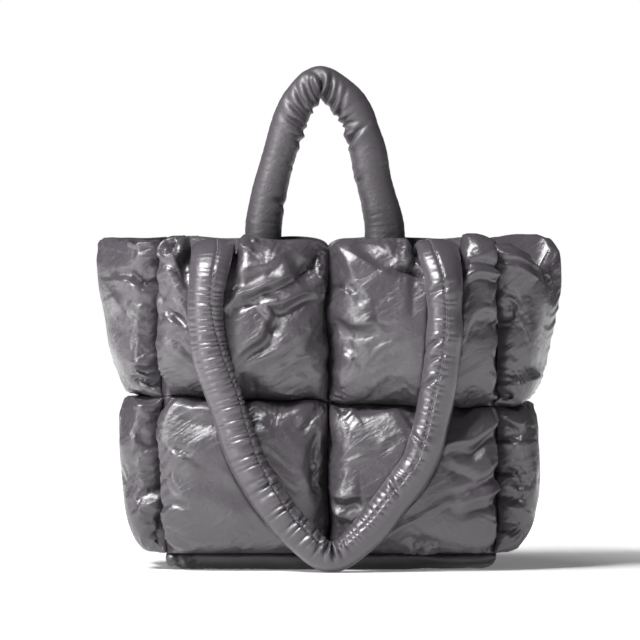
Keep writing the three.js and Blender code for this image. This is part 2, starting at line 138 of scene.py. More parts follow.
class BagSizes(bpy.types.PropertyGroup):
    """Sizes of the padding and of the stitching."""
    front_padding: bpy.props.FloatProperty(
        name="Front padding", description="How far a front square swells past its seams",
        default=40 * MM, min=5 * MM, unit="LENGTH")
    back_padding: bpy.props.FloatProperty(
        name="Back padding", description="How far a back square swells past its seams",
        default=36 * MM, min=5 * MM, unit="LENGTH")
    gusset_padding: bpy.props.FloatProperty(
        name="Gusset padding", description="How far a side square swells past its seams",
        default=31 * MM, min=5 * MM, unit="LENGTH")
    gusset_fold: bpy.props.FloatProperty(
        name="Gusset fold", description="Share of the padding left along a gusset's middle fold",
        default=0.47, min=0.1, max=1, subtype="FACTOR")
    gather_depth: bpy.props.FloatProperty(
        name="Gather depth", description="Depth of the small gathers along the quilting seams",
        default=1.8 * MM, min=0, unit="LENGTH")
    stitch_length: bpy.props.FloatProperty(
        name="Stitch length", description="Length of one stitch of the strap's seam",
        default=3.1 * MM, min=1 * MM, unit="LENGTH")
    stitch_pitch: bpy.props.FloatProperty(
        name="Stitch pitch", description="Distance from one stitch to the next",
        default=4.4 * MM, min=1 * MM, unit="LENGTH")
    thread_radius: bpy.props.FloatProperty(
        name="Thread radius", description="Half the thickness of the sewing thread",
        default=0.42 * MM, min=0.1 * MM, unit="LENGTH")
    filling: bpy.props.FloatProperty(
        name="Filling pressure", description="Pressure that fills the padded squares",
        default=2.2, min=0, max=10)


class BagColours(bpy.types.PropertyGroup):
    """Colours of the cloths, the thread and the studio."""
    cloth: bpy.props.FloatVectorProperty(
        name="Outer cloth", description="Colour of the coated outer cloth",
        default=(0.056, 0.049, 0.058), size=3, min=0, max=1, subtype="COLOR")
    lining: bpy.props.FloatVectorProperty(
        name="Lining", description="Colour of the woven lining",
        default=(0.045, 0.040, 0.039), size=3, min=0, max=1, subtype="COLOR")
    thread: bpy.props.FloatVectorProperty(
        name="Thread", description="Colour of the sewing thread",
        default=(0.19, 0.18, 0.19), size=3, min=0, max=1, subtype="COLOR")
    studio: bpy.props.FloatVectorProperty(
        name="Studio", description="Colour of the floor",
        default=(0.82, 0.82, 0.82), size=3, min=0, max=1, subtype="COLOR")


# Folds seen from the front, one row each: width and lift in millimetres, the side of the path on
# which the hollow lies (0 for none), and the path, in millimetres from the centre seam and the
# floor.
FRONT_FOLDS = {
    "front_upper_left": [
        (4.5, 4.5, -1, [(-99, 267), (-61, 289), (-28, 296)]),
        (5, 4.5, 1, [(-18, 282), (-44, 267), (-59, 267), (-57, 255), (-67, 236), (-89, 217)]),
        (6, 2.5, -1, [(-97, 290), (-76, 304), (-47, 313)]),
        (9, -11, 0, [(-31, 291), (-12, 304), (-4, 322)]),
        (6, 1.6, -1, [(-56, 196), (-4, 226)]),
        (7, 1.8, -1, [(-78, 202), (-8, 250)]),
        (2.6, 3, 1, [(-166, 272), (-155, 258), (-143, 237)]),
        (2.6, 2.6, -1, [(-157, 268), (-150, 260), (-141, 253)]),
        (3.5, 3, 1, [(-150, 313), (-144, 297)]),
        (6, 2.6, 1, [(-156, 302), (-144, 272)]),
        (4, 1.4, 1, [(-160, 229), (-139, 209)]),
        (2.4, 4.5, 0, [(-146, 329), (-144, 320), (-148, 312), (-156, 309), (-163, 313),
            (-165, 321), (-162, 328), (-154, 333)]),
        (3, -9, 0, [(-161, 324), (-152, 328)]),
        (2, 4, 0, [(-153, 322), (-158, 315)]),
        (2.5, 3.5, 0, [(-90, 333), (-86, 322), (-78, 318)]),
        (2.5, 3, 0, [(-84, 334), (-74, 327)]),
    ],
    "front_upper_right": [
        (7, 3.5, -1, [(7, 326), (18, 311), (27, 293)]),
        (4, -6, 0, [(0, 282), (13, 279)]),
        (4, 2.5, 1, [(13, 279), (21, 272)]),
        (6, 3.5, -1, [(6, 257), (22, 245), (48, 248)]),
        (4, 2.4, 1, [(8, 217), (23, 207)]),
        (4, 2.4, -1, [(4, 202), (12, 182)]),
        (5, -7, 0, [(66, 301), (81, 300), (94, 292)]),
        (5, 3, 0, [(62, 304), (80, 308), (96, 300)]),
        (5, 1.8, 1, [(20, 318), (65, 291)]),
        (4, 3.2, 1, [(132, 290), (152, 295), (168, 294)]),
        (4.5, -3, 0, [(134, 284), (152, 286), (164, 284)]),
        (9, 3, 0, [(140, 320), (160, 326)]),
        (7, 2.5, 0, [(148, 262), (149, 252)]),
        (5, 3, 1, [(163, 170), (169, 166)]),
    ],
    "front_lower_left": [
        (7, -6.5, 0, [(-14, 137), (-16, 114), (-11, 80)]),
        (6, 2.4, 0, [(-26, 130), (-29, 106), (-22, 84)]),
        (3.5, 2.6, -1, [(-32, 150), (-14, 158)]),
        (3, 2.4, 1, [(-20, 146), (-5, 160)]),
        (6, 2.2, -1, [(-150, 163), (-120, 159), (-60, 160), (-24, 161)]),
        (3, 1.8, 1, [(-149, 117), (-137, 110)]),
        (3, 1.5, 1, [(-165, 58), (-136, 61)]),
        (4, 1.6, 1, [(-100, 150), (-90, 132), (-96, 118)]),
        (5, 1.4, 1, [(-163, 108), (-148, 84)]),
    ],
    "front_lower_right": [
        (4, 3, 1, [(3, 165), (15, 151)]),
        (4, 2, 1, [(24, 164), (30, 157)]),
        (4, 4, -1, [(8, 79), (21, 72), (34, 74)]),
        (3.5, 3, -1, [(4, 71), (9, 62), (16, 55)]),
        (5, 3.2, 1, [(168, 152), (147, 135), (119, 125)]),
        (4.5, -2.6, 0, [(157, 137), (136, 114)]),
        (5, 3.2, 1, [(168, 87), (147, 74), (130, 67)]),
        (6, -2.4, 0, [(168, 96), (142, 92), (118, 104)]),
        (5, 2, 1, [(160, 108), (131, 88)]),
        (4, 3, 1, [(73, 16), (82, 23), (88, 18), (98, 21), (113, 17)]),
        (4, 3.5, 1, [(161, 155), (169, 154)]),
        (3, 1.6, 1, [(60, 132), (52, 128)]),
    ],
    "left_gusset_upper": [
        (3.5, 3.6, 1, [(-214, 290), (-200, 289), (-187, 282), (-170, 274)]),
        (5, -4, 0, [(-200, 292), (-177, 283)]),
        (7, 2.4, -1, [(-193, 314), (-177, 310)]),
        (9, 2.2, 0, [(-188, 268), (-190, 240)]),
        (4, 3.4, -1, [(-195, 207), (-184, 207), (-170, 221)]),
        (4.5, -6, 0, [(-198, 190), (-177, 186), (-166, 177)]),
        (3.5, 2.6, 0, [(-196, 196), (-178, 192)]),
        (5, 1.6, 1, [(-216, 276), (-206, 262)]),
        (2.2, 4, 0, [(-200, 329), (-198, 324), (-190, 322), (-181, 324), (-178, 329)]),
        (2.6, -7, 0, [(-196, 329), (-182, 330)]),
    ],
    "left_gusset_lower": [
        (3.5, 3.6, 1, [(-187, 64), (-168, 80)]),
        (3, 3.4, -1, [(-180, 58), (-166, 67)]),
        (5, -7, 0, [(-167, 58), (-174, 39), (-172, 21)]),
        (3, 1.8, 1, [(-185, 120), (-172, 114)]),
        (4, 1.3, 1, [(-200, 138), (-188, 122)]),
        (4, 3, 1, [(-194, 164), (-176, 165)]),
    ],
    "right_gusset_upper": [
        (3, 3.2, 1, [(168, 331), (188, 320), (214, 306), (224, 286)]),
        (3, 2.4, 1, [(170, 322), (192, 311), (212, 298)]),
        (3, 1.8, 1, [(170, 312), (190, 303), (208, 290)]),
        (3.5, -4, 0, [(172, 296), (173, 250), (173, 200)]),
        (3.5, 3.4, 1, [(178, 272), (174, 250)]),
        (5, -6, 0, [(172, 176), (184, 171)]),
        (6, 2.2, 1, [(186, 186), (212, 192)]),
    ],
    "right_gusset_lower": [
        (4, 2.6, 1, [(171, 122), (194, 127)]),
        (3.5, 3.6, 1, [(171, 87), (179, 90), (183, 77)]),
        (4, 2.4, 1, [(171, 70), (194, 61)]),
        (4, 2.4, -1, [(172, 152), (196, 146)]),
        (5, 2, 1, [(171, 52), (186, 30)]),
    ],
}

# Crumples of the base's front edge, in the same measures
BASE_FOLDS = [
    (3, 3.4, 1, [(-159, 14), (-150, 7), (-140, 5)]),
    (2.6, 3, -1, [(-150, 13), (-143, 9), (-136, 11)]),
    (3, -3, 0, [(-156, 3), (-148, 1)]),
    (4, 1.4, 1, [(-40, 12), (-10, 8), (40, 10)]),
    (4, 1.4, -1, [(90, 11), (130, 7), (160, 9)]),
]

# Folds of the back, which the photograph doesn't show, in the same measures seen from the front
BACK_FOLDS = {
    "back_upper_left": [
        (5, 3, 1, [(-165, 286), (-120, 270), (-92, 274)]),
        (6, 2.6, -1, [(-10, 240), (-42, 224), (-70, 232)]),
    ],
    "back_upper_right": [
        (5, 3.4, 1, [(12, 300), (52, 280), (90, 290)]),
        (6, 3, -1, [(164, 240), (128, 226), (98, 236)]),
    ],
    "back_lower_left": [
        (5, 2.8, 1, [(-162, 112), (-132, 98), (-110, 104)]),
        (4, 2.8, 1, [(-8, 62), (-34, 74)]),
    ],
    "back_lower_right": [
        (5, 2.8, -1, [(8, 132), (34, 120), (60, 126)]),
        (4, 2.6, 1, [(164, 66), (138, 80)]),
    ],
}

# Rises of the front rim: place to the right of the middle, half width and height, in millimetres
FRONT_RIM_RISES = [(-155, 11, 4), (-87, 5, 4), (-45, 25, -1), (20, 14, 1), (148, 15, 5)]

# How far the right side's rim has slumped, by the share of the way from its front to its back
SLUMP_SHARES = [(0, 0), (0.1, 0.1), (0.22, 0.42), (0.34, 0.78), (0.42, 0.8), (0.5, 0.3),
                (0.56, 0.04), (1, 0)]

# The strap's route, as in the frame: across as a share of half the panel, up as a share of the
# way to the rim, off the wall, flatness and fullness, and where its stitched seam lies across
# it, from 0 in the middle to 1 at its inner edge.
STRAP_ROUTE = [
    (-0.66, 0.82, -1, 1, 1, 0.1),
    (-0.67, 0.93, -1, 1, 1, 0.1),
    (-0.675, 0.985, -0.6, 1, 1, 0.1),
    (-0.68, 1, 0.22, 1, 1, 0.12),
    (-0.685, 0.975, 0.72, 0.75, 1, 0.12),
    (-0.705, 0.91, 0.98, 0.3, 1, 0.17),
    (-0.722, 0.83, 1, 0, 1, 0.32),
    (-0.705, 0.695, 1, 0, 1, 0.66),
    (-0.665, 0.617, 1, 0, 1, 0.74),
    (-0.61, 0.537, 0.98, 0, 1, 0.8),
    (-0.48, 0.342, 1, 0, 1, 0.64),
    (-0.333, 0.215, 1, 0, 1, 0.52),
    (-0.19, 0.125, 0.97, 0, 0.96, 0.5),
    (0.012, 0.0455, 0.93, 0, 0.8, 0.7),
    (0.21, 0.115, 0.97, 0, 0.96, 0.44),
    (0.36, 0.213, 1, 0, 1, 0.32),
    (0.534, 0.342, 1, 0, 1, 0.16),
    (0.634, 0.537, 0.98, 0, 1, 0.16),
    (0.662, 0.633, 1, 0, 1, 0.0),
    (0.68, 0.74, 1, 0, 1, -0.1),
    (0.68, 0.83, 1, 0, 1, -0.1),
    (0.672, 0.91, 0.98, 0.3, 1, -0.04),
    (0.648, 0.975, 0.72, 0.75, 1, 0.06),
    (0.636, 1, 0.22, 1, 1, 0.1),
    (0.63, 0.985, -0.6, 1, 1, 0.1),
    (0.625, 0.93, -1, 1, 1, 0.1),
    (0.62, 0.82, -1, 1, 1, 0.1),
]

# The handle's route above the rim: across, up as a share of its rise, and fullness
HANDLE_ROUTE = [
    (-0.389, 0, 1.02), (-0.386, 0.085, 1.02), (-0.363, 0.243, 1), (-0.327, 0.402, 0.94),
    (-0.286, 0.56, 0.93), (-0.25, 0.687, 0.98), (-0.22, 0.782, 0.96), (-0.168, 0.885, 0.95),
    (-0.052, 1, 0.88), (0.1, 0.885, 0.97), (0.172, 0.782, 0.97), (0.2, 0.687, 0.99),
    (0.236, 0.56, 1), (0.262, 0.402, 1.04), (0.3, 0.243, 1), (0.333, 0.085, 1.12),
    (0.337, 0, 1.14),
]

# Gathers along the strap's stitched seam, by height on each leg in millimetres above the
# floor: distance from one to the next, their depth, and how far round the tube they reach.
LEFT_GATHERS = [
    (330, 6, 0.0, 0.5), (300, 5.5, 0.9, 0.9), (270, 5.2, 2.2, 1.15), (230, 5.5, 2.9, 1.2),
    (190, 6, 3.3, 1.2), (150, 6.5, 3.3, 1.15), (110, 8, 4.2, 1.1), (90, 10.5, 5.6, 1.05),
    (50, 11, 5.6, 1.05), (20, 8, 3.6, 1.0), (0, 8, 3.0, 1.0),
]
RIGHT_GATHERS = [
    (330, 7, 0.0, 0.4), (310, 6.5, 0.8, 0.6), (280, 7, 1.7, 0.8), (230, 7, 1.9, 0.85),
    (190, 7, 1.9, 0.8), (150, 7, 1.6, 0.8), (110, 7, 1.6, 0.8), (70, 6.5, 1.8, 0.85),
    (40, 6, 2.0, 0.95), (20, 6, 2.0, 1.0), (0, 6, 2.0, 1.0),
]

# Single creases across a tube, one row each: distance along it in millimetres, from its lowest
# point on the strap and from its top on the handle, where round it the crease lies in degrees
# (90 faces front), how far round it reaches in degrees, and its lean, width and depth in
# millimetres.
STRAP_CREASES = [
    (306, 110, 38, -6, 2.4, 3.2), (252, 130, 40, -10, 2.6, 3.4), (236, 125, 36, -9, 2.2, 2.8),
    (213, 128, 36, -12, 2.4, 3.2), (154, 125, 34, 7, 2.2, 2.6), (98, 122, 32, 6, 2.2, 2.8),
    (14, 120, 46, 3, 2.0, 2.2), (3, 128, 40, 0, 2.6, 5.5), (-9, 122, 42, -3, 2.2, 2.4),
    (-20, 118, 40, -4, 2.2, 2.0),
]
HANDLE_CREASES = [
    (2, 70, 64, -4, 2.2, 6.5), (-11, 84, 46, 8, 2.6, 3.6), (13, 74, 50, -7, 2.4, 4.2),
    (23, 72, 42, -10, 2.6, 3.4), (36, 44, 52, -9, 2.6, 4.2), (56, 30, 52, 2, 2.6, 2.6),
    (63, 26, 40, 3, 2.2, 2.2), (72, 44, 60, -8, 2.4, 3.4), (118, 30, 30, -5, 3, 1.4),
    (-21, 66, 54, 9, 2.8, 3.6), (-31, 72, 50, 9, 2.6, 3.4), (-42, 60, 54, 6, 2.6, 4.0),
    (-54, 52, 48, 3, 2.8, 4.0), (-60, 30, 36, 0, 2.4, 2.4), (-69, 26, 34, 2, 3, 2.8),
    (-137, 30, 40, 3, 3, 2.2),
]


def smooth(value, low, high):
    """Smooth step from 0 at low to 1 at high."""
    share = np.clip((np.asarray(value, float) - low) / (high - low), 0, 1)
    return share * share * (3 - 2 * share)


def mix(a, b, share):
    """A share of the way from a to b."""
    return a + (b - a) * share


def wall_depth(z):
    """Distance from the bag's middle plane to its front or back wall."""
    return mix(BASE_DEPTH, RIM_DEPTH, z / RIM)


def side_seam(side, z):
    """Distance from the bag's middle to the seam between a wall and a gusset."""
    pull_in = LEFT_PULL_IN if side < 0 else 0
    return HALF_PANEL - pull_in * (1 - smooth(z, 2 * FOOT, (WAIST_LEFT + WAIST_RIGHT) / 2))


def waist_at(x):
    """Height of the crosswise seam at a distance to the right of the middle."""
    return mix(WAIST_LEFT, WAIST_RIGHT, (x + HALF_PANEL) / (2 * HALF_PANEL))


def pillow(share):
    """Share of the full padding at a share of the way across a square."""
    from_middle = np.minimum(1, np.abs(2 * share - 1))
    return (1 - from_middle ** PILLOW_SIDE) ** (1 / PILLOW_TOP)


def ripples(places, pitch, seed, waves=7):
    """Smooth uneven waves about one pitch long, along one measure or over several."""
    rng = np.random.default_rng(seed)
    places = np.atleast_2d(np.asarray(places, float).T).T
    total = np.zeros(len(places))
    for _ in range(waves):
        heading = rng.normal(size=places.shape[1])
        heading /= np.linalg.norm(heading)
        length = pitch * rng.uniform(0.7, 1.6)
        total += np.sin(places @ heading * (2 * math.pi / length) + rng.uniform(0, 2 * math.pi))
    return total / math.sqrt(waves)


def front_rim():
    """Height of the front wall's rim, which dips under the strap."""
    crossings = [row[0] * HALF_PANEL for row in STRAP_ROUTE if row[1] == 1]

    def rim(x):
        dip = sum(1 - smooth(np.abs(x - c), FLAT_HALF_WIDTH * 1.02, FLAT_HALF_WIDTH * 1.4)
                  for c in crossings)
        notch = 11 * np.exp(-np.abs(x) / (8 * MM))
        notch = notch + 7 * np.exp((np.abs(x) - HALF_PANEL) / (6 * MM))
        rise = sum(lift * np.exp(-((x / MM - place) / width) ** 2)
                   for place, width, lift in FRONT_RIM_RISES)
        return RIM - dip * (2 * FLAT_HALF_DEPTH + GAP) + (rise - notch) * MM
    return rim


def plain_rim(x):
    """Height of the back wall's rim, which dips a little at its seams."""
    notch = 7 * np.exp(-np.abs(x) / (6 * MM)) + 3.5 * np.exp((np.abs(x) - HALF_PANEL) / (6 * MM))
    return RIM + (ripples(x.ravel(), 70 * MM, 62).reshape(x.shape) * 0.7 - notch) * MM


def wall_square(facing, half, level, rim):
    """The place of a front or back square: its inner face, and the way that it swells."""
    def place(across, up):
        outward = across if facing * half > 0 else 1 - across
        along = half * mix(SEAM_GAP / 2, HALF_PANEL - SEAM_GAP / 2, outward)
        low = np.full_like(along, FOOT) if level == "lower" else waist_at(along) + GAP / 2
        high = waist_at(along) - GAP / 2 if level == "lower" else rim(along)
        z = mix(low, high, up)
        x = along * side_seam(half, z) / HALF_PANEL
        points = np.stack([MIDDLE_X + x, MIDDLE_Y - facing * wall_depth(z), z], -1)
        out = np.zeros_like(points)
        out[..., 1] = -facing
        return points, out
    return place


def gusset_waist(side, along):
    """Height of a gusset's crosswise seam, at a share of the way from its front to its back."""
    rise = RIGHT_WAIST_RISE if side > 0 else 0
    return waist_at(side * HALF_PANEL) + rise * (1 - np.abs(2 * along - 1))


def gusset_rim(side, along):
    """Height of a gusset's rim. The right one has slumped in front of its fold."""
    notch = 7 * MM * np.exp(-2 * RIM_DEPTH * along / (6 * MM))
    wander = ripples(along.ravel(), 0.3, 60).reshape(along.shape) * 0.8 * MM
    if side < 0:
        return RIM + wander - notch
    keys, values = zip(*SLUMP_SHARES)
    rise = 4.5 * MM * np.sin(math.pi * np.clip(2 * along - 1.05, 0, 1))
    return RIM + rise - RIM_SLUMP * np.interp(along, keys, values) - notch


def gusset_place(side, along, z):
    """A place on a gusset's inner face, and the way that it swells."""
    waist = gusset_waist(side, along)
    foot = FOOT + FOOT_LIFT[side] * (1 - np.abs(2 * along - 1))
    rim_reach = RIM_REACH + (4 * MM if side > 0 else 0)
    upper = mix(WAIST_REACH, rim_reach, (z - waist) / (RIM - waist))
    lower = mix(FOOT_REACH, WAIST_REACH, (z - foot) / (waist - foot))
    reach = np.where(z > waist, upper, lower)
    to_seam = 2 * along - 1
    x = side_seam(side, z) + reach * (1 - np.abs(to_seam))
    points = np.stack([MIDDLE_X + side * x, MIDDLE_Y + wall_depth(z) * to_seam, z], -1)
    turn = np.clip(to_seam / FOLD_WIDTH, -1, 1)
    out = np.stack([side * wall_depth(z), (reach + LOBE_REACH) * turn, np.zeros_like(z)], -1)
    return points, out / np.linalg.norm(out, axis=-1, keepdims=True)


def gusset_square(side, level):
    """The place of a side square, from its front seam to its back seam."""
    def place(across, up):
        inset = SEAM_GAP / (2 * BASE_DEPTH)
        along = mix(inset, 1 - inset, across if side > 0 else 1 - across)
        waist = gusset_waist(side, along)
        foot = FOOT + FOOT_LIFT[side] * (1 - np.abs(2 * along - 1))
        low = foot if level == "lower" else waist + GAP / 2
        high = waist - GAP / 2 if level == "lower" else gusset_rim(side, along)
        points, out = gusset_place(side, along, mix(low, high, up))
        points[..., 0] += side * SEAM_GAP / 2
        return points, out
    return place


def base_square(across, up):
    """The place of the base, which swells downwards."""
    x = mix(GAP - side_seam(-1, 0), side_seam(1, 0) - 2 * MM, across)
    y = mix(1, -1, up) * (wall_depth(0) - 2 * GAP)
    points = np.stack([MIDDLE_X + x, MIDDLE_Y + y, np.full_like(x, BASE_TOP)], -1)
    out = np.zeros_like(points)
    out[..., 2] = -1
    return points, out


def shares(cells):
    """Shares from 0 to 1 that crowd a little towards both ends."""
    even = np.linspace(0, 1, cells + 1)
    return mix(even, (1 - np.cos(math.pi * even)) / 2, 0.6)


class Square:
    """One padded square of cloth, as a grid of places that is filled, refined and folded."""

    def __init__(self, name, place, padding, cells_across=FILL_CELLS, cells_up=FILL_CELLS):
        self.name = name
        self.across, self.up = np.meshgrid(shares(cells_across), shares(cells_up))
        self.inner, self.out = place(self.across, self.up)
        swell = SEAM_THICKNESS + padding(self.across, self.up)
        self.outer = self.inner + self.out * swell[..., None]
        self.seed = sum(ord(letter) for letter in name)

    def ring(self, rows, columns):
        """Indices of the grid's edge, once round."""
        grid = np.arange(rows * columns).reshape(rows, columns)
        return np.concatenate([grid[0, :-1], grid[:-1, -1], grid[-1, :0:-1], grid[:0:-1, 0]])

    def mesh(self):
        """A closed mesh of the filled face, its edges and its flat or folded inner face."""
        rows, columns = self.outer.shape[:2]
        grid = np.arange(rows * columns).reshape(rows, columns)
        edge = self.ring(rows, columns)
        start = rows * columns
        inner = self.inner.reshape(-1, 3)[edge]
        faces = np.stack([grid[:-1, :-1], grid[:-1, 1:], grid[1:, 1:], grid[1:, :-1]], -1)
        faces = faces.reshape(-1, 4).tolist()
        count = len(edge)
        for i in range(count):
            j = (i + 1) % count
            faces.append([int(edge[j]), int(edge[i]), start + i, start + j])
        low, high = columns // 2, (columns - 1) + (rows - 1) + (columns - 1 - columns // 2)
        faces.append([start + i for i in range(high, low - 1, -1)])
        faces.append([start + i for i in range(low, -1, -1)]
                     + [start + i for i in range(count - 1, high - 1, -1)])
        points = np.concatenate([self.outer.reshape(-1, 3), inner])
        mesh = bpy.data.meshes.new(self.name)
        mesh.from_pydata(points.tolist(), [], faces)
        return mesh

    def normals(self):
        """Outward direction at each place of the grid."""
        along = np.gradient(self.outer, axis=1)
        above = np.gradient(self.outer, axis=0)
        normal = np.cross(along, above)
        return normal / np.maximum(np.linalg.norm(normal, axis=-1, keepdims=True), 1e-9)

    def refine(self):
        """Twice as many cells each way, through the same places."""
        for key in ("across", "up", "inner", "out", "outer"):
            setattr(self, key, between(between(getattr(self, key), 0), 1))


def between(values, axis):
    """The values with smooth ones put in between along one axis."""
    values = np.moveaxis(values, axis, 0)
    padded = np.concatenate([2 * values[:1] - values[1:2], values, 2 * values[-1:] - values[-2:-1]])
    middle = (9 * (padded[1:-2] + padded[2:-1]) - padded[:-3] - padded[3:]) / 16
    result = np.empty((2 * len(values) - 1,) + values.shape[1:])
    result[0::2] = values
    result[1::2] = middle
    return np.moveaxis(result, 0, axis)


def new_piece(name, mesh, material, smooth_faces=True):
    """A piece of the bag with its finish, riding on the frame."""
    piece = bpy.data.objects.new(name, mesh)
    bpy.context.scene.collection.objects.link(piece)
    mesh.materials.append(material)
    if smooth_faces:
        mesh.polygons.foreach_set("use_smooth", [True] * len(mesh.polygons))
    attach(piece, "root")
    return piece


def fill_squares(squares, pressure, growth, most):
    """Fills the squares with padding: the cloth grows, swells and buckles at its held seams."""
    scene = bpy.context.scene
    pieces = []
    for square in squares:
        piece = bpy.data.objects.new(f"filling_{square.name}", square.mesh())
        scene.collection.objects.link(piece)
        rows, columns = square.outer.shape[:2]
        held = piece.vertex_groups.new(name="seams")
        edge = [int(i) for i in square.ring(rows, columns)]
        held.add(edge + list(range(rows * columns, len(piece.data.vertices))), 1.0, "REPLACE")
        cloth = piece.modifiers.new("cloth", "CLOTH")
        settings = cloth.settings
        settings.quality = 5
        settings.mass = 0.15
        settings.tension_stiffness = 18
        settings.compression_stiffness = 18
        settings.shear_stiffness = 6
        settings.bending_stiffness = 0.12
        settings.tension_damping = 12
        settings.compression_damping = 12
        settings.shear_damping = 8
        settings.bending_damping = 0.5
        settings.air_damping = 2
        settings.use_pressure = True
        settings.uniform_pressure_force = pressure
        settings.vertex_group_mass = "seams"
        settings.shrink_min = -growth
        settings.effector_weights.gravity = 0
        cloth.collision_settings.use_collision = False
        pieces.append(piece)
    for number in range(FILL_STEPS):
        scene.frame_set(number + 1)
    graph = bpy.context.evaluated_depsgraph_get()
    for square, piece in zip(squares, pieces):
        filled = piece.evaluated_get(graph).to_mesh()
        places = np.empty(len(filled.vertices) * 3)
        filled.vertices.foreach_get("co", places)
        rows, columns = square.outer.shape[:2]
        places = places.reshape(-1, 3)[:rows * columns].reshape(rows, columns, 3)
        move = places - square.outer
        length = np.linalg.norm(move, axis=-1, keepdims=True)
        square.outer = square.outer + move * np.minimum(1, most / np.maximum(length, 1e-9))
        piece.evaluated_get(graph).to_mesh_clear()
    for piece in pieces:
        bpy.data.objects.remove(piece)
    scene.frame_set(1)


def crests(places, pitch, seed):
    """Waves with sharp crests, as cloth has where it is pulled."""
    return 0.7 - 1.3 * np.abs(ripples(places, pitch, seed))


def gather_seams(square, width, height, depth, grain=1):
    """Small gathers that fan out from the square's seams, and slanting pulls across it."""
    normal = square.normals()
    lift = np.zeros(square.across.shape)
    sides = [
        (square.across * width, square.up * height),
        ((1 - square.across) * width, square.up * height),
        (square.up * height, square.across * width),
        ((1 - square.up) * height, square.across * width),
    ]
    for number, (away, along) in enumerate(sides):
        seed = square.seed * 7 + number
        flat_along, flat_away = along.ravel(), away.ravel()
        reach = (15 + 11 * ripples(flat_along, 50 * MM, seed + 1)) * MM
        reach = np.clip(reach, 5 * MM, 40 * MM)
        lean = 0.6 * ripples(flat_along, 60 * MM, seed + 2)
        wave = crests(flat_along + lean * flat_away, GATHER_PITCH, seed + 3)
        strength = np.clip(0.3 + 0.6 * ripples(flat_along, 60 * MM, seed + 4), 0.05, 1.3)
        fade = np.exp(-flat_away / reach) * (1 - np.exp(-flat_away / (1.6 * MM)))
        lift += (wave * fade * strength * (0.6 if number < 2 else 1)).reshape(lift.shape)
    places = np.stack([square.across.ravel() * width, square.up.ravel() * height], -1)
    slanted = np.array([[0.87, -0.5], [0.5 * grain, 0.87]])
    pulled = places @ slanted.T / np.array([PULL_STRETCH, 1])
    lumps = ripples(places, LUMP_PITCH, square.seed + 11, 9).reshape(lift.shape)
    pulls = crests(pulled, PULL_PITCH, square.seed + 13).reshape(lift.shape)
    patches = np.clip(ripples(places, 80 * MM, square.seed + 17, 9) - 0.1, 0, 1.3)
    patches = patches.reshape(lift.shape)
    held = pillow(square.across) * pillow(square.up)
    lift = lift * depth + (lumps * LUMP_HEIGHT + pulls * patches * PULL_HEIGHT) * held
    square.outer = square.outer + normal * lift[..., None]


def fold_lift(rows, x, z):
    """Lift of the folds at places seen from the front, in metres."""
    lift = np.zeros_like(x)
    for width, height, shade, path in rows:
        path = np.array(path, float) * MM
        width = width * MM
        legs = path[1:] - path[:-1]
        lengths = np.linalg.norm(legs, axis=-1)
        total = lengths.sum()
        best = np.full(x.shape, 1e9)
        side = np.zeros_like(x)
        along = np.zeros_like(x)
        done = 0
        for start, leg, length in zip(path, legs, lengths):
            away_x, away_z = x - start[0], z - start[1]
            share = np.clip((away_x * leg[0] + away_z * leg[1]) / length ** 2, 0, 1)
            off_x, off_z = away_x - share * leg[0], away_z - share * leg[1]
            distance = np.hypot(off_x, off_z)
            closer = distance < best
            best = np.where(closer, distance, best)
            turn = np.sign(leg[0] * away_z - leg[1] * away_x)
            side = np.where(closer, turn, side)
            along = np.where(closer, (done + share * length) / total, along)
            done += length
        taper = np.minimum(1, 0.25 + np.sin(math.pi * np.clip(along, 0, 1)) ** 0.6)
        signed = best * side * shade / width
        if shade:
            ridge = np.exp(np.where(signed > 0, -(np.abs(signed) / 0.9) ** 1.4, signed / 2.6))
            hollow = np.exp(-((signed - 2) / 1.3) ** 2)
        else:
            ridge, hollow = np.exp(-(best / width) ** 1.3), 0
        lift += FOLD_HEIGHT * height * MM * taper * (ridge - 0.7 * hollow)
    return lift


def fold(square, rows, gusset):
    """The main folds of a square, on the front half of a gusset."""
    x = square.outer[..., 0] - MIDDLE_X
    lift = fold_lift(rows, x, square.outer[..., 2])
    if gusset:
        lift = lift * (1 - smooth(square.outer[..., 1] - MIDDLE_Y, -20 * MM, 5 * MM))
    held = np.minimum(1, 3 * pillow(square.across) * pillow(square.up))
    square.outer = square.outer + square.normals() * (lift * held)[..., None]


def eased(room, softness):
    """Room left beside a seam, eased so that the cloth turns in round and never crosses."""
    return 0.15 * MM + (room + np.sqrt(room ** 2 + softness ** 2)) / 2


def outside_walls(points):
    """Distance outside the planes of the four walls."""
    x, y = np.abs(points[..., 0] - MIDDLE_X), np.abs(points[..., 1] - MIDDLE_Y)
    return np.maximum(y - wall_depth(points[..., 2]), x - HALF_PANEL)


def keep_between_seams(square, side, level, wall):
    """Keeps a square on its own side of the seam lines that it shares with its neighbours."""
    points = square.outer
    x = side * (points[..., 0] - MIDDLE_X)
    z = points[..., 2]
    softness = (0.2 + 2 * smooth(outside_walls(points), 3 * MM, 12 * MM)) * MM
    if wall:
        most = side_seam(side, z)
        x = most - eased(most - eased(x, softness), softness)
        waist = waist_at(side * x)
    else:
        beyond = smooth(np.abs(points[..., 1] - MIDDLE_Y) - wall_depth(z), -2 * MM, 4 * MM)
        seam = side_seam(side, z)
        x = mix(x, seam + eased(x - seam, softness), beyond)
        along = np.clip((points[..., 1] - MIDDLE_Y) / wall_depth(z) / 2 + 0.5, 0, 1)
        waist = gusset_waist(side, along)
    turned = -1 if level == "lower" else 1
    z = waist + turned * eased(turned * (z - waist), softness)
    points[..., 0] = side * x + MIDDLE_X
    points[..., 2] = z


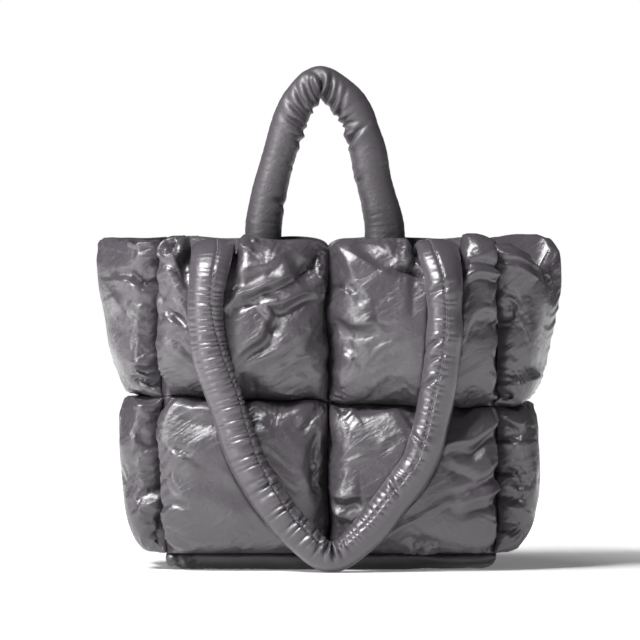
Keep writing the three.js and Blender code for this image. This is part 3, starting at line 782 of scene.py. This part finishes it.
def drift(points):
    """Carries places along with their neighbours, so that the seams wander and overlap."""
    flat = points.reshape(-1, 3).copy()
    x = np.abs(flat[:, 0] - MIDDLE_X)
    outside = outside_walls(flat)
    weight = 0.45 * smooth(outside, -5 * MM, 0) + 0.55 * smooth(outside, 0, 20 * MM)
    weight *= 1 - smooth(flat[:, 2], RIM - 30 * MM, RIM) * 0.6
    weight *= smooth(flat[:, 2], FOOT, FOOT + 40 * MM)
    weight *= 1 - 0.85 * smooth(x, HALF_PANEL + 6 * MM, HALF_PANEL + 32 * MM)
    tuck = smooth(outside, 0, 6 * MM) * (1 - smooth(outside, 8 * MM, 32 * MM))
    lean = smooth(outside, 5 * MM, 22 * MM)
    near = smooth(x, HALF_PANEL - 50 * MM, HALF_PANEL - 8 * MM)
    near *= 1 - smooth(x, HALF_PANEL + 2 * MM, HALF_PANEL + 26 * MM)
    near *= smooth(np.abs(flat[:, 1] - MIDDLE_Y) - wall_depth(flat[:, 2]), -2 * MM, 4 * MM)
    lower_left = 1 - smooth(flat[:, 2], WAIST_LEFT - 35 * MM, WAIST_LEFT)
    lower_left = lower_left * (flat[:, 0] < MIDDLE_X)
    lean = lean * (SEAM_LEAN + lower_left * LOWER_LEFT_LEAN)
    shift = np.sign(flat[:, 0] - MIDDLE_X) * near * (lean - tuck * SEAM_TUCK)
    for axis, seed, carried in ((0, 51, shift), (2, 52, 0)):
        wide = ripples(flat, WIDE_PITCH, seed) * WIDE_WANDER
        fine = ripples(flat, FINE_PITCH, seed + 10) * FINE_WANDER
        flat[:, axis] += (wide + fine) * weight + carried
    return flat.reshape(points.shape)


def smooth_curve(points, density=24):
    """A centripetal curve through the points, with the share of the way between them."""
    points = np.array(points, float)
    padded = np.vstack([2 * points[0] - points[1], points, 2 * points[-1] - points[-2]])
    places, stations = [], []
    for i in range(len(points) - 1):
        a, b, c, d = padded[i:i + 4]
        first = np.linalg.norm(b - a) ** 0.5
        second = np.linalg.norm(c - b) ** 0.5
        third = np.linalg.norm(d - c) ** 0.5
        start = ((b - a) / first - (c - a) / (first + second) + (c - b) / second) * second
        end = ((c - b) / second - (d - b) / (second + third) + (d - c) / third) * second
        for step in range(density):
            t = step / density
            places.append(b + t * start + t * t * (3 * (c - b) - 2 * start - end)
                          + t ** 3 * (2 * (b - c) + start + end))
            stations.append(i + t)
    places.append(points[-1])
    stations.append(len(points) - 1)
    return np.array(places), np.array(stations)


class Tube:
    """A padded tube along a route, with a frame of directions at each ring."""

    def __init__(self, rows, away, step):
        centres = [row[0] for row in rows]
        places, stations = smooth_curve(centres)
        lengths = np.concatenate([[0], np.cumsum(np.linalg.norm(np.diff(places, axis=0), axis=1))])
        self.length = lengths[-1]
        count = int(self.length / step) + 1
        self.along = np.linspace(0, self.length, count)
        self.centre = np.stack([np.interp(self.along, lengths, places[:, k]) for k in range(3)], -1)
        station = np.interp(self.along, lengths, stations)
        keys = np.arange(len(rows))
        columns = len(rows[0])
        self.values = [np.interp(station, keys, [row[k] for row in rows])
                       for k in range(1, columns)]
        self.tangent = np.gradient(self.centre, axis=0)
        self.tangent /= np.linalg.norm(self.tangent, axis=1, keepdims=True)
        self.away = np.empty_like(self.centre)
        current = np.array(away, float)
        for i, tangent in enumerate(self.tangent):
            current = current - tangent * current.dot(tangent)
            current /= np.linalg.norm(current)
            self.away[i] = current
        self.aside = np.cross(self.tangent, self.away)

    def points(self, angle, lift, half_width, half_depth):
        """Places on the tube's skin for a grid of angles, lifted outwards."""
        wide = (half_width[:, None] + lift) * np.cos(angle)
        deep = (half_depth[:, None] + lift) * np.sin(angle)
        return (self.centre[:, None] + self.aside[:, None] * wide[..., None]
                + self.away[:, None] * deep[..., None])


def tube_mesh(name, points):
    """A closed tube mesh with softly rounded ends."""
    rings, sides = points.shape[:2]
    flat = points.reshape(-1, 3).tolist()
    grid = np.arange(rings * sides).reshape(rings, sides)
    turned = np.roll(grid, -1, axis=1)
    faces = np.stack([grid[:-1], grid[1:], turned[1:], turned[:-1]], -1).reshape(-1, 4).tolist()
    faces.append(grid[0].tolist())
    faces.append(grid[-1][::-1].tolist())
    mesh = bpy.data.meshes.new(name)
    mesh.from_pydata(flat, [], faces)
    return mesh


def creases(rows, along, angle):
    """Lift of single creases across a tube: a narrow slit between two soft lips."""
    lift = np.zeros(np.broadcast(along, angle).shape)
    for place, middle, spread, lean, width, depth in rows:
        turn = np.angle(np.exp(1j * (angle - math.radians(middle))))
        round_by = turn / math.radians(spread)
        off = along - place * MM - lean * MM * turn
        width = width * MM
        slit = np.exp(-(off / width) ** 2)
        lips = np.exp(-((np.abs(off) - 2.6 * width) / (1.6 * width)) ** 2)
        lift += depth * MM * np.exp(-round_by ** 2) * (0.45 * lips - slit)
    return lift


def principled(name, colour, roughness):
    """A new material and the parts of it that every cloth here sets."""
    material = bpy.data.materials.new(name)
    material.use_nodes = True
    shader = material.node_tree.nodes["Principled BSDF"]
    shader.inputs["Base Color"].default_value = (*colour, 1)
    shader.inputs["Roughness"].default_value = roughness
    return material, material.node_tree.nodes, material.node_tree.links, shader


def noise(nodes, links, place, scale, detail=3.0, roughness=0.5, distortion=0.0, kind="FBM"):
    """A cloudy pattern at the given scale."""
    node = nodes.new("ShaderNodeTexNoise")
    node.noise_type = kind
    node.inputs["Scale"].default_value = scale
    node.inputs["Detail"].default_value = detail
    node.inputs["Roughness"].default_value = roughness
    node.inputs["Distortion"].default_value = distortion
    links.new(place, node.inputs["Vector"])
    return node.outputs["Fac"]


def in_range(nodes, links, value, low, high):
    """A value from 0 to 1, spread from low to high."""
    node = nodes.new("ShaderNodeMapRange")
    node.inputs["To Min"].default_value = low
    node.inputs["To Max"].default_value = high
    links.new(value, node.inputs["Value"])
    return node.outputs["Result"]


def bump(nodes, links, height, distance, before=None):
    """Relief from a pattern, on top of the relief before it."""
    node = nodes.new("ShaderNodeBump")
    node.inputs["Distance"].default_value = distance
    links.new(height, node.inputs["Height"])
    if before is not None:
        links.new(before, node.inputs["Normal"])
    return node.outputs["Normal"]


def weave(nodes, links, place, pitch):
    """Fine plain weave: two sets of threads that cross."""
    waves = []
    for direction in ("X", "Z"):
        node = nodes.new("ShaderNodeTexWave")
        node.bands_direction = direction
        node.inputs["Scale"].default_value = 0.314 / pitch
        links.new(place, node.inputs["Vector"])
        waves.append(node.outputs["Fac"])
    both = nodes.new("ShaderNodeMath")
    both.operation = "ADD"
    links.new(waves[0], both.inputs[0])
    links.new(waves[1], both.inputs[1])
    return both.outputs[0]


def tinted(nodes, links, shader, colour, value, spread):
    """Slight changes of tone over the cloth."""
    ramp = nodes.new("ShaderNodeMix")
    ramp.data_type = "RGBA"
    ramp.inputs["A"].default_value = (*[c * (1 - spread) for c in colour], 1)
    ramp.inputs["B"].default_value = (*[c * (1 + spread) for c in colour], 1)
    links.new(value, ramp.inputs["Factor"])
    links.new(ramp.outputs["Result"], shader.inputs["Base Color"])


def coated_cloth(name, colour, crinkle, gloss, coat=0.35):
    """Glossy coated nylon: fine weave under a coating that crinkles."""
    material, nodes, links, shader = principled(name, colour, 0.36)
    place = nodes.new("ShaderNodeTexCoord").outputs["Object"]
    tinted(nodes, links, shader, colour, noise(nodes, links, place, 9, 4), 0.12)
    links.new(in_range(nodes, links, noise(nodes, links, place, 30, 5, 0.6), *gloss),
              shader.inputs["Roughness"])
    shader.inputs["Specular IOR Level"].default_value = 0.8
    shader.inputs["Coat Weight"].default_value = coat
    shader.inputs["Coat Roughness"].default_value = 0.2
    shader.inputs["Sheen Weight"].default_value = 0.04
    slanted = nodes.new("ShaderNodeMapping")
    slanted.vector_type = "TEXTURE"
    slanted.inputs["Rotation"].default_value = (0, math.radians(-32), 0)
    slanted.inputs["Scale"].default_value = (7, 2, 1)
    links.new(place, slanted.inputs["Vector"])
    slanted = slanted.outputs["Vector"]
    soft = bump(nodes, links, noise(nodes, links, place, 30, 2, 0.5, 0.8), 3 * crinkle * MM)
    pulls = noise(nodes, links, slanted, 90, 3, 0.55, 0.8)
    pulls = bump(nodes, links, pulls, 2.6 * crinkle * MM, soft)
    sharp = noise(nodes, links, slanted, 90, 4, 0.5, 0.5, "RIDGED_MULTIFRACTAL")
    sharp = bump(nodes, links, sharp, 0.5 * crinkle * MM, pulls)
    fine = noise(nodes, links, place, 150, 4, 0.5, 1.2)
    fine = bump(nodes, links, fine, 1.1 * crinkle * MM, sharp)
    threads = bump(nodes, links, weave(nodes, links, place, 0.45 * MM), 0.02 * MM, fine)
    links.new(threads, shader.inputs["Normal"])
    return material


def woven_cloth(name, colour):
    """Matt woven lining."""
    material, nodes, links, shader = principled(name, colour, 0.72)
    place = nodes.new("ShaderNodeTexCoord").outputs["Object"]
    tinted(nodes, links, shader, colour, noise(nodes, links, place, 14, 4), 0.16)
    shader.inputs["Sheen Weight"].default_value = 0.15
    soft = bump(nodes, links, noise(nodes, links, place, 60, 4), 0.8 * MM)
    threads = bump(nodes, links, weave(nodes, links, place, 0.6 * MM), 0.06 * MM, soft)
    links.new(threads, shader.inputs["Normal"])
    return material


def twisted_thread(name, colour):
    """Sewing thread with its twist."""
    material, nodes, links, shader = principled(name, colour, 0.55)
    place = nodes.new("ShaderNodeTexCoord").outputs["Object"]
    tinted(nodes, links, shader, colour, noise(nodes, links, place, 300), 0.2)
    links.new(bump(nodes, links, noise(nodes, links, place, 1500), 0.1 * MM),
              shader.inputs["Normal"])
    return material


def cloth_material(kind):
    """The bag's materials, made once and shared."""
    name = f"{kind}_finish"
    if name in bpy.data.materials:
        return bpy.data.materials[name]
    colours = bpy.context.scene.bag_colours
    makers = {
        "outer_cloth": lambda: coated_cloth(name, colours.cloth, 0.5, (0.27, 0.42)),
        # The strap's colour is the outer cloth's made 1.2 times lighter: painted light, a lit copy
        # of the same cloth.
        "strap_cloth": lambda: coated_cloth(name, [1.2 * part for part in colours.cloth], 0.25,
                                            (0.22, 0.4)),
        "handle_cloth": lambda: coated_cloth(name, colours.cloth, 0.3, (0.42, 0.56), 0.1),
        # The base's colour is the outer cloth's at 0.35 of its tone: painted shade, as the base
        # lies in shade under the swelling squares.
        "base_cloth_painted_shade": lambda: coated_cloth(name, [0.35 * part for part in colours.cloth], 0.4,
                                           (0.4, 0.6)),
        "lining_cloth": lambda: woven_cloth(name, colours.lining),
        "thread": lambda: twisted_thread(name, colours.thread),
    }
    return makers[kind]()


def finish_square(square, node, kind="outer_cloth"):
    """The square's finished piece, which takes the place of its node."""
    piece = new_piece(square.name, square.mesh(), cloth_material(kind))
    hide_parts(node)


def strap_tube(step):
    """The strap's route and sizes, laid from its inner left end to its inner right end."""
    sizes = bpy.context.scene.bag_sizes
    stand_out = SEAM_THICKNESS + sizes.front_padding + TUBE_HALF_DEPTH - STRAP_PRESS
    rows = []
    for across, up, off, flat, fullness, seam in STRAP_ROUTE:
        z = up * (RIM - FLAT_HALF_DEPTH)
        stand = off * (stand_out if off > 0 else LINING_STAND + FLAT_HALF_DEPTH)
        centre = (MIDDLE_X + across * HALF_PANEL, MIDDLE_Y - wall_depth(z) - stand, z)
        half_width = mix(TUBE_HALF_WIDTH, FLAT_HALF_WIDTH, flat) * fullness
        rows.append((centre, half_width, mix(TUBE_HALF_DEPTH, FLAT_HALF_DEPTH, flat), seam, flat))
    return Tube(rows, (0, 1, 0), step)


def press_in(square, tube):
    """Presses the strap into a front square, just clear of it."""
    clear = 0.6 * MM
    points = square.outer.reshape(-1, 3)
    near = np.where((points[:, 1] < MIDDLE_Y - RIM_DEPTH + 5 * MM))[0]
    half_width, half_depth = tube.values[0] + clear, tube.values[1] + clear
    for start in range(0, len(near), 2000):
        chosen = near[start:start + 2000]
        off = points[chosen, None] - tube.centre[None]
        nearest = np.argmin((off ** 2).sum(-1), axis=1)
        off = points[chosen] - tube.centre[nearest]
        wide = (off * tube.aside[nearest]).sum(-1) / half_width[nearest]
        deep = (off * tube.away[nearest]).sum(-1)
        edge = np.sqrt(np.clip(1 - wide ** 2, 0, 1)) * half_depth[nearest]
        push = np.where(np.abs(wide) < 1, np.maximum(0, deep + edge), 0)
        points[chosen] -= tube.away[nearest] * push[:, None]
    square.outer = points.reshape(square.outer.shape)


class BAG_OT_wall_squares(bpy.types.Operator):
    """Sew the eight padded squares of the front and back walls"""
    bl_idname = "bag.wall_squares"
    bl_label = "Wall squares"

    def execute(self, context):
        sizes = context.scene.bag_sizes
        strap = strap_tube(3 * MM)
        jobs = []
        walls = (("front", 1, sizes.front_padding, front_rim()),
                 ("back", -1, sizes.back_padding, plain_rim))
        for wall, facing, crown, rim in walls:
            for half, hand in ((-1, "left"), (1, "right")):
                for level in ("upper", "lower"):
                    def padding(across, up, crown=crown):
                        return crown * pillow(across) * pillow(up)
                    name = f"{wall}_{level}_{hand}"
                    place = wall_square(facing, half, level, rim)
                    square = Square(f"{name}_square", place, padding)
                    jobs.append((square, name, facing, half, level))
        fill_squares([job[0] for job in jobs], sizes.filling, WALL_GROWTH, WALL_SWELL)
        for square, name, facing, half, level in jobs:
            square.refine()
            gather_seams(square, HALF_PANEL, LEVELS[level], sizes.gather_depth, -half)
            fold(square, {**FRONT_FOLDS, **BACK_FOLDS}[name], False)
            keep_between_seams(square, half, level, True)
            square.outer, square.inner = drift(square.outer), drift(square.inner)
            if facing > 0:
                press_in(square, strap)
            finish_square(square, f"{name}_puff")
        return {"FINISHED"}


class BAG_OT_gusset_squares(bpy.types.Operator):
    """Sew the four padded squares of the two folded sides"""
    bl_idname = "bag.gusset_squares"
    bl_label = "Gusset squares"

    def execute(self, context):
        sizes = context.scene.bag_sizes
        jobs = []
        for side, hand in ((-1, "left"), (1, "right")):
            for level in ("upper", "lower"):
                def padding(across, up, more=1.2 if level == "lower" else 1):
                    crease = (1 - sizes.gusset_fold) * np.exp(-((2 * across - 1) / FOLD_WIDTH) ** 2)
                    return more * sizes.gusset_padding * (1 - crease) * pillow(across) * pillow(up)
                name = f"{hand}_gusset_{level}"
                square = Square(f"{name}_square", gusset_square(side, level), padding)
                jobs.append((square, name, side, level))
        fill_squares([job[0] for job in jobs], sizes.filling, GUSSET_GROWTH, GUSSET_SWELL)
        for square, name, side, level in jobs:
            square.refine()
            gather_seams(square, 2 * RIM_DEPTH, LEVELS[level], sizes.gather_depth)
            fold(square, FRONT_FOLDS[name], True)
            keep_between_seams(square, side, level, False)
            square.outer, square.inner = drift(square.outer), drift(square.inner)
            finish_square(square, f"{name}_puff")
        return {"FINISHED"}


class BAG_OT_base_square(bpy.types.Operator):
    """Sew the padded base, flat where the bag rests"""
    bl_idname = "bag.base_square"
    bl_label = "Base square"

    def execute(self, context):
        def padding(across, up):
            full = 1.35 * BASE_TOP * pillow(across) * pillow(up)
            return np.minimum(BASE_TOP - SEAM_THICKNESS, full)
        square = Square("base_square", base_square, padding, 2 * FILL_CELLS, FILL_CELLS)
        square.refine()
        gather_seams(square, 2 * HALF_PANEL, 2 * BASE_DEPTH, 0.8 * MM)
        x, y = square.outer[..., 0] - MIDDLE_X, square.outer[..., 1] - MIDDLE_Y
        lift = fold_lift(BASE_FOLDS, x, square.outer[..., 2]) * (1 - smooth(y, -20 * MM, 5 * MM))
        square.outer = square.outer + square.normals() * lift[..., None]
        square.outer[..., 2] = np.clip(square.outer[..., 2], 0.05 * MM, BASE_TOP - GAP)
        # The base is finished in the darker copy of the outer cloth, which is painted shade.
        finish_square(square, "base_puff", "base_cloth_painted_shade")
        return {"FINISHED"}


class BAG_OT_lining(bpy.types.Operator):
    """Hang the thin lining inside the walls"""
    bl_idname = "bag.lining"
    bl_label = "Lining"

    def execute(self, context):
        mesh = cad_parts["lining"].data.copy()
        mesh.materials.clear()
        piece = new_piece("lining_cloth", mesh, cloth_material("lining_cloth"))
        finer = piece.modifiers.new("finer", "SUBSURF")
        finer.subdivision_type = "SIMPLE"
        finer.levels = 3
        graph = context.evaluated_depsgraph_get()
        finer_mesh = bpy.data.meshes.new_from_object(piece.evaluated_get(graph))
        piece.modifiers.clear()
        piece.data = finer_mesh
        count = len(finer_mesh.vertices)
        places = np.empty(count * 3)
        finer_mesh.vertices.foreach_get("co", places)
        places = places.reshape(-1, 3)
        hang = 1 + 0.5 * ripples(places[:, [0, 2]], 55 * MM, 5) + 0.5 * ripples(places, 24 * MM, 6)
        inward = np.stack([MIDDLE_X - places[:, 0], MIDDLE_Y - places[:, 1]], -1)
        inward /= np.linalg.norm(inward, axis=1, keepdims=True)
        free = smooth(places[:, 2], BASE_TOP + 3 * MM, BASE_TOP + 20 * MM)
        free *= 1 - smooth(places[:, 2], RIM - 60 * MM, RIM - 22 * MM)
        places[:, :2] += inward * (np.clip(hang, 0, 3) * 2.2 * MM * free)[:, None]
        finer_mesh.vertices.foreach_set("co", places.ravel())
        finer_mesh.polygons.foreach_set("use_smooth", [True] * len(finer_mesh.polygons))
        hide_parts("lining")
        return {"FINISHED"}


class BAG_OT_strap(bpy.types.Operator):
    """Lay the long padded strap in its V down the front"""
    bl_idname = "bag.strap"
    bl_label = "Strap"

    def execute(self, context):
        tube = strap_tube(1.0 * MM)
        half_width, half_depth, seam, flat = tube.values
        angle = np.linspace(0, 2 * math.pi, 73)[:-1][None, :]
        lowest = int(np.argmin(tube.centre[:, 2]))
        from_tip = tube.along - tube.along[lowest]
        height = tube.centre[:, 2] / MM
        left = np.arange(len(tube.along)) < lowest
        columns = []
        for k in (1, 2, 3):
            sides = []
            for rows in (LEFT_GATHERS, RIGHT_GATHERS):
                rows = sorted(rows)
                sides.append(np.interp(height, [r[0] for r in rows], [r[k] for r in rows]))
            columns.append(np.where(left, *sides))
        pitch, depth, reach = columns
        front = np.array([0, -1, 0])
        inward = np.cross(tube.tangent, -front)
        off = seam[:, None] * inward + np.sqrt(1 - seam ** 2)[:, None] * front
        seam_angle = np.arctan2((off * tube.away).sum(1), (off * tube.aside).sum(1))
        facing = np.arctan2(tube.away @ front, tube.aside @ front)[:, None]
        turn = np.angle(np.exp(1j * (angle - seam_angle[:, None])))
        phase = np.concatenate([[0], np.cumsum(np.diff(tube.along) / (pitch[1:] * MM))])
        phase = phase + 0.28 * ripples(tube.along, 21 * MM, 31)
        uneven = 0.75 + 0.35 * ripples(tube.along, 13 * MM, 32)
        inner = np.abs(np.sin(math.pi * phase))[:, None] ** 0.7 - 0.62
        outer = np.abs(np.sin(math.pi * (phase + 0.31)))[:, None] ** 0.7 - 0.62
        waves = np.where(turn > 0, inner, outer)
        reach = np.where((turn < 0) & ~left[:, None], 0.4 * reach[:, None], reach[:, None])
        fade = np.exp(-(np.abs(turn) / reach) ** 1.4)
        lift = waves * fade * (depth * np.clip(uneven, 0.2, 1.5) * MM)[:, None]
        arc = np.abs(turn) * half_width[:, None]
        fronted = (1 - smooth(tube.centre[:, 1], MIDDLE_Y - RIM_DEPTH - 8 * MM,
                              MIDDLE_Y - RIM_DEPTH + 4 * MM))[:, None]
        lift = lift * fronted - 1.5 * MM * np.exp(-(arc / (1.3 * MM)) ** 2) * fronted
        seen = angle - facing + math.pi / 2
        lift = lift + creases(STRAP_CREASES, from_tip[:, None], seen) * fronted
        soft = ripples(np.stack([tube.along, tube.along * 0], -1), 42 * MM, 33)[:, None]
        lift = lift + 0.35 * MM * soft
        points = tube.points(angle, lift, half_width, half_depth)
        points[..., 2] = np.maximum(points[..., 2], 0.6 * MM)
        piece = new_piece("padded_strap", tube_mesh("padded_strap", points),
                          cloth_material("strap_cloth"))
        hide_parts("front_strap")
        self.sew(context, tube, seam_angle, half_width, half_depth)
        return {"FINISHED"}

    def sew(self, context, tube, seam_angle, half_width, half_depth):
        """The row of stitches along the strap's seam."""
        sizes = context.scene.bag_sizes
        seam_line = tube.points(seam_angle[:, None], np.full((len(seam_angle), 1), -0.9 * MM),
                                half_width, half_depth)[:, 0]
        shown = tube.centre[:, 1] < MIDDLE_Y - RIM_DEPTH
        first, last = tube.along[shown][0], tube.along[shown][-1]
        points, faces = [], []
        start = first
        while start + sizes.stitch_length < last:
            steps = np.linspace(0, 1, 6)
            places = start + steps * sizes.stitch_length
            line = np.stack([np.interp(places, tube.along, seam_line[:, k]) for k in range(3)], -1)
            index = np.searchsorted(tube.along, places)
            out = (tube.aside[index] * np.cos(seam_angle[index])[:, None]
                   + tube.away[index] * np.sin(seam_angle[index])[:, None])
            side = np.cross(tube.tangent[index], out)
            line = line + out * (np.sin(math.pi * steps) * 0.8 * MM)[:, None]
            base = len(points)
            for place, up, across, step in zip(line, out, side, steps):
                radius = sizes.thread_radius * (0.55 + 0.45 * math.sin(math.pi * step))
                for corner in range(6):
                    turn = 2 * math.pi * corner / 6
                    points.append(place + radius * (up * math.sin(turn) + across * math.cos(turn)))
            for ring in range(5):
                for corner in range(6):
                    a, b = base + ring * 6 + corner, base + ring * 6 + (corner + 1) % 6
                    faces.append([a, b, b + 6, a + 6])
            faces.append([base + 5 - corner for corner in range(6)])
            faces.append([base + 30 + corner for corner in range(6)])
            start += sizes.stitch_pitch
        mesh = bpy.data.meshes.new("strap_stitches")
        mesh.from_pydata([tuple(point) for point in points], [], faces)
        new_piece("strap_stitches", mesh, cloth_material("thread"))


class BAG_OT_handle(bpy.types.Operator):
    """Stand the short padded handle up behind the rim"""
    bl_idname = "bag.handle"
    bl_label = "Handle"

    def execute(self, context):
        rows = []
        y = MIDDLE_Y + wall_depth(RIM) - LINING_STAND - TUBE_HALF_DEPTH
        for across, up, fullness in HANDLE_ROUTE:
            centre = (MIDDLE_X + across * HALF_PANEL, y, RIM + up * HANDLE_RISE)
            rows.append((centre, TUBE_HALF_WIDTH * fullness, TUBE_HALF_DEPTH))
        seats = [self.seat(HANDLE_ROUTE[0][0], share) for share in (1, 0.6, 0.25)]
        other = [self.seat(HANDLE_ROUTE[-1][0], share) for share in (0.25, 0.6, 1)]
        tube = Tube(seats + rows + other, (0, -1, 0), 1.1 * MM)
        half_width, half_depth = tube.values
        angle = np.linspace(0, 2 * math.pi, 73)[:-1][None, :]
        top = int(np.argmax(tube.centre[:, 2]))
        from_top = tube.along - tube.along[top]
        lift = creases(HANDLE_CREASES, from_top[:, None], angle)
        inner = np.exp(-(np.angle(np.exp(1j * (angle - 0.35))) / 0.9) ** 2)
        near_top = np.exp(-(from_top / (80 * MM)) ** 2)[:, None]
        lift = lift + 1.2 * MM * ripples(tube.along, 9 * MM, 41)[:, None] * inner * near_top
        lift = lift + 0.25 * MM * ripples(tube.along, 48 * MM, 42)[:, None]
        skin = np.stack(np.broadcast_arrays(tube.along[:, None] * 5, angle * 18 * MM), -1)
        rings = ripples(skin.reshape(-1, 2), 26 * MM, 43).reshape(skin.shape[:2])
        lift = lift + 0.09 * MM * rings
        back = np.exp(-((angle - 1.5 * math.pi) * TUBE_HALF_WIDTH / (1.3 * MM)) ** 2)
        lift = lift - 1.2 * MM * back
        points = tube.points(angle, lift, half_width, half_depth)
        piece = new_piece("padded_handle", tube_mesh("padded_handle", points),
                          cloth_material("handle_cloth"))
        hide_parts("back_handle")
        return {"FINISHED"}

    def seat(self, across, share):
        """Where the handle's end is sewn flat inside the back wall."""
        z = RIM - SEAT_LENGTH * share
        flat = float(smooth(share, 0, 0.7))
        half_depth = mix(TUBE_HALF_DEPTH, FLAT_HALF_DEPTH, flat)
        y = MIDDLE_Y + wall_depth(z) - LINING_STAND - half_depth
        return ((MIDDLE_X + across * HALF_PANEL, y, z), mix(TUBE_HALF_WIDTH, FLAT_HALF_WIDTH, flat),
                half_depth)


class BAG_OT_stage(bpy.types.Operator):
    """Set the pale floor, the soft studio light and the camera"""
    bl_idname = "bag.stage"
    bl_label = "Stage"

    def execute(self, context):
        scene = context.scene
        colours = scene.bag_colours
        mesh = bpy.data.meshes.new("studio_floor")
        corners = ((-1, -1), (1, -1), (1, 1), (-1, 1))
        mesh.from_pydata([(FLOOR_REACH * x, FLOOR_REACH * y, 0) for x, y in corners], [],
                         [(0, 1, 2, 3)])
        floor = bpy.data.objects.new("studio_floor", mesh)
        scene.collection.objects.link(floor)
        material, nodes, links, shader = principled("studio_paper", colours.studio, 0.9)
        place = nodes.new("ShaderNodeTexCoord").outputs["Object"]
        tinted(nodes, links, shader, colours.studio, noise(nodes, links, place, 3), 0.01)
        # Painted light: the floor glows, faintly near the bag and fully farther away, lightening
        # the bag's cast shadow.
        shader.inputs["Emission Color"].default_value = (1, 1, 1, 1)
        distance = nodes.new("ShaderNodeVectorMath")
        distance.operation = "LENGTH"
        links.new(place, distance.inputs[0])
        glow = in_range(nodes, links, distance.outputs["Value"], *FLOOR_GLOW)
        glow.node.inputs["From Min"].default_value = GLOW_FROM
        glow.node.inputs["From Max"].default_value = GLOW_TO
        links.new(glow, shader.inputs["Emission Strength"])
        mesh.materials.append(material)
        for row in LIGHTS:
            self.light(scene, *row)
        world = bpy.data.worlds.new("studio")
        world.use_nodes = True
        nodes, links = world.node_tree.nodes, world.node_tree.links
        seen = in_range(nodes, links, nodes.new("ShaderNodeLightPath").outputs["Is Camera Ray"],
                        ROOM_LIGHT, 1)
        nodes["Background"].inputs["Color"].default_value = (1, 1, 1, 1)
        links.new(seen, nodes["Background"].inputs["Strength"])
        scene.world = world
        scene.view_settings.view_transform = "Standard"
        camera = bpy.data.objects.new("camera", bpy.data.cameras.new("camera"))
        scene.collection.objects.link(camera)
        scene.camera = camera
        self.aim(camera)
        return {"FINISHED"}

    def light(self, scene, name, place, width, height, power):
        """A soft panel light that faces the bag."""
        lamp = bpy.data.lights.new(name, "AREA")
        lamp.shape = "RECTANGLE"
        lamp.size, lamp.size_y = width, height
        lamp.energy = power
        holder = bpy.data.objects.new(name, lamp)
        holder.location = place
        aim = Vector((MIDDLE_X, MIDDLE_Y, 0.2)) - holder.location
        holder.rotation_euler = aim.to_track_quat("-Z", "Y").to_euler()
        holder.visible_camera = False
        scene.collection.objects.link(holder)

    def aim(self, camera):
        """The photograph shows one millimetre to a pixel, seen level from far away."""
        picture = 640
        centre_seam, floor_line = 328.5, 569.5
        distance = 7.5
        seam_plane = MIDDLE_Y - RIM_DEPTH
        aim = Vector((MIDDLE_X + (picture / 2 - centre_seam) * MM, seam_plane,
                      (floor_line - picture / 2) * MM))
        rise = math.radians(1.2)
        camera.location = aim + Vector((0, -math.cos(rise), math.sin(rise))) * distance
        camera.rotation_euler = (aim - camera.location).to_track_quat("-Z", "Y").to_euler()
        camera.data.lens = camera.data.sensor_width * distance / (picture * MM)


class BAG_PT_panel(bpy.types.Panel):
    """Sizes, colours and steps of the tote bag"""
    bl_idname = "BAG_PT_panel"
    bl_label = "Tote Bag"
    bl_space_type = "VIEW_3D"
    bl_region_type = "UI"
    bl_category = "Tote Bag"

    def draw(self, context):
        for group in (context.scene.bag_sizes, context.scene.bag_colours):
            box = self.layout.box()
            for key in group.__annotations__:
                box.prop(group, key)
        for operator in OPERATORS:
            self.layout.operator(operator.bl_idname)


OPERATORS = (
    BAG_OT_stage,
    BAG_OT_wall_squares,
    BAG_OT_gusset_squares,
    BAG_OT_base_square,
    BAG_OT_lining,
    BAG_OT_strap,
    BAG_OT_handle,
)
CLASSES = (BagSizes, BagColours, *OPERATORS, BAG_PT_panel)


def register():
    for cls in CLASSES:
        bpy.utils.register_class(cls)
    bpy.types.Scene.bag_sizes = bpy.props.PointerProperty(type=BagSizes)
    bpy.types.Scene.bag_colours = bpy.props.PointerProperty(type=BagColours)


def unregister():
    del bpy.types.Scene.bag_colours
    del bpy.types.Scene.bag_sizes
    for cls in reversed(CLASSES):
        bpy.utils.unregister_class(cls)


def main():
    register()
    bpy.ops.bag.stage()
    bpy.ops.bag.wall_squares()
    bpy.ops.bag.gusset_squares()
    bpy.ops.bag.base_square()
    bpy.ops.bag.lining()
    bpy.ops.bag.strap()
    bpy.ops.bag.handle()


if __name__ == "__main__":
    main()
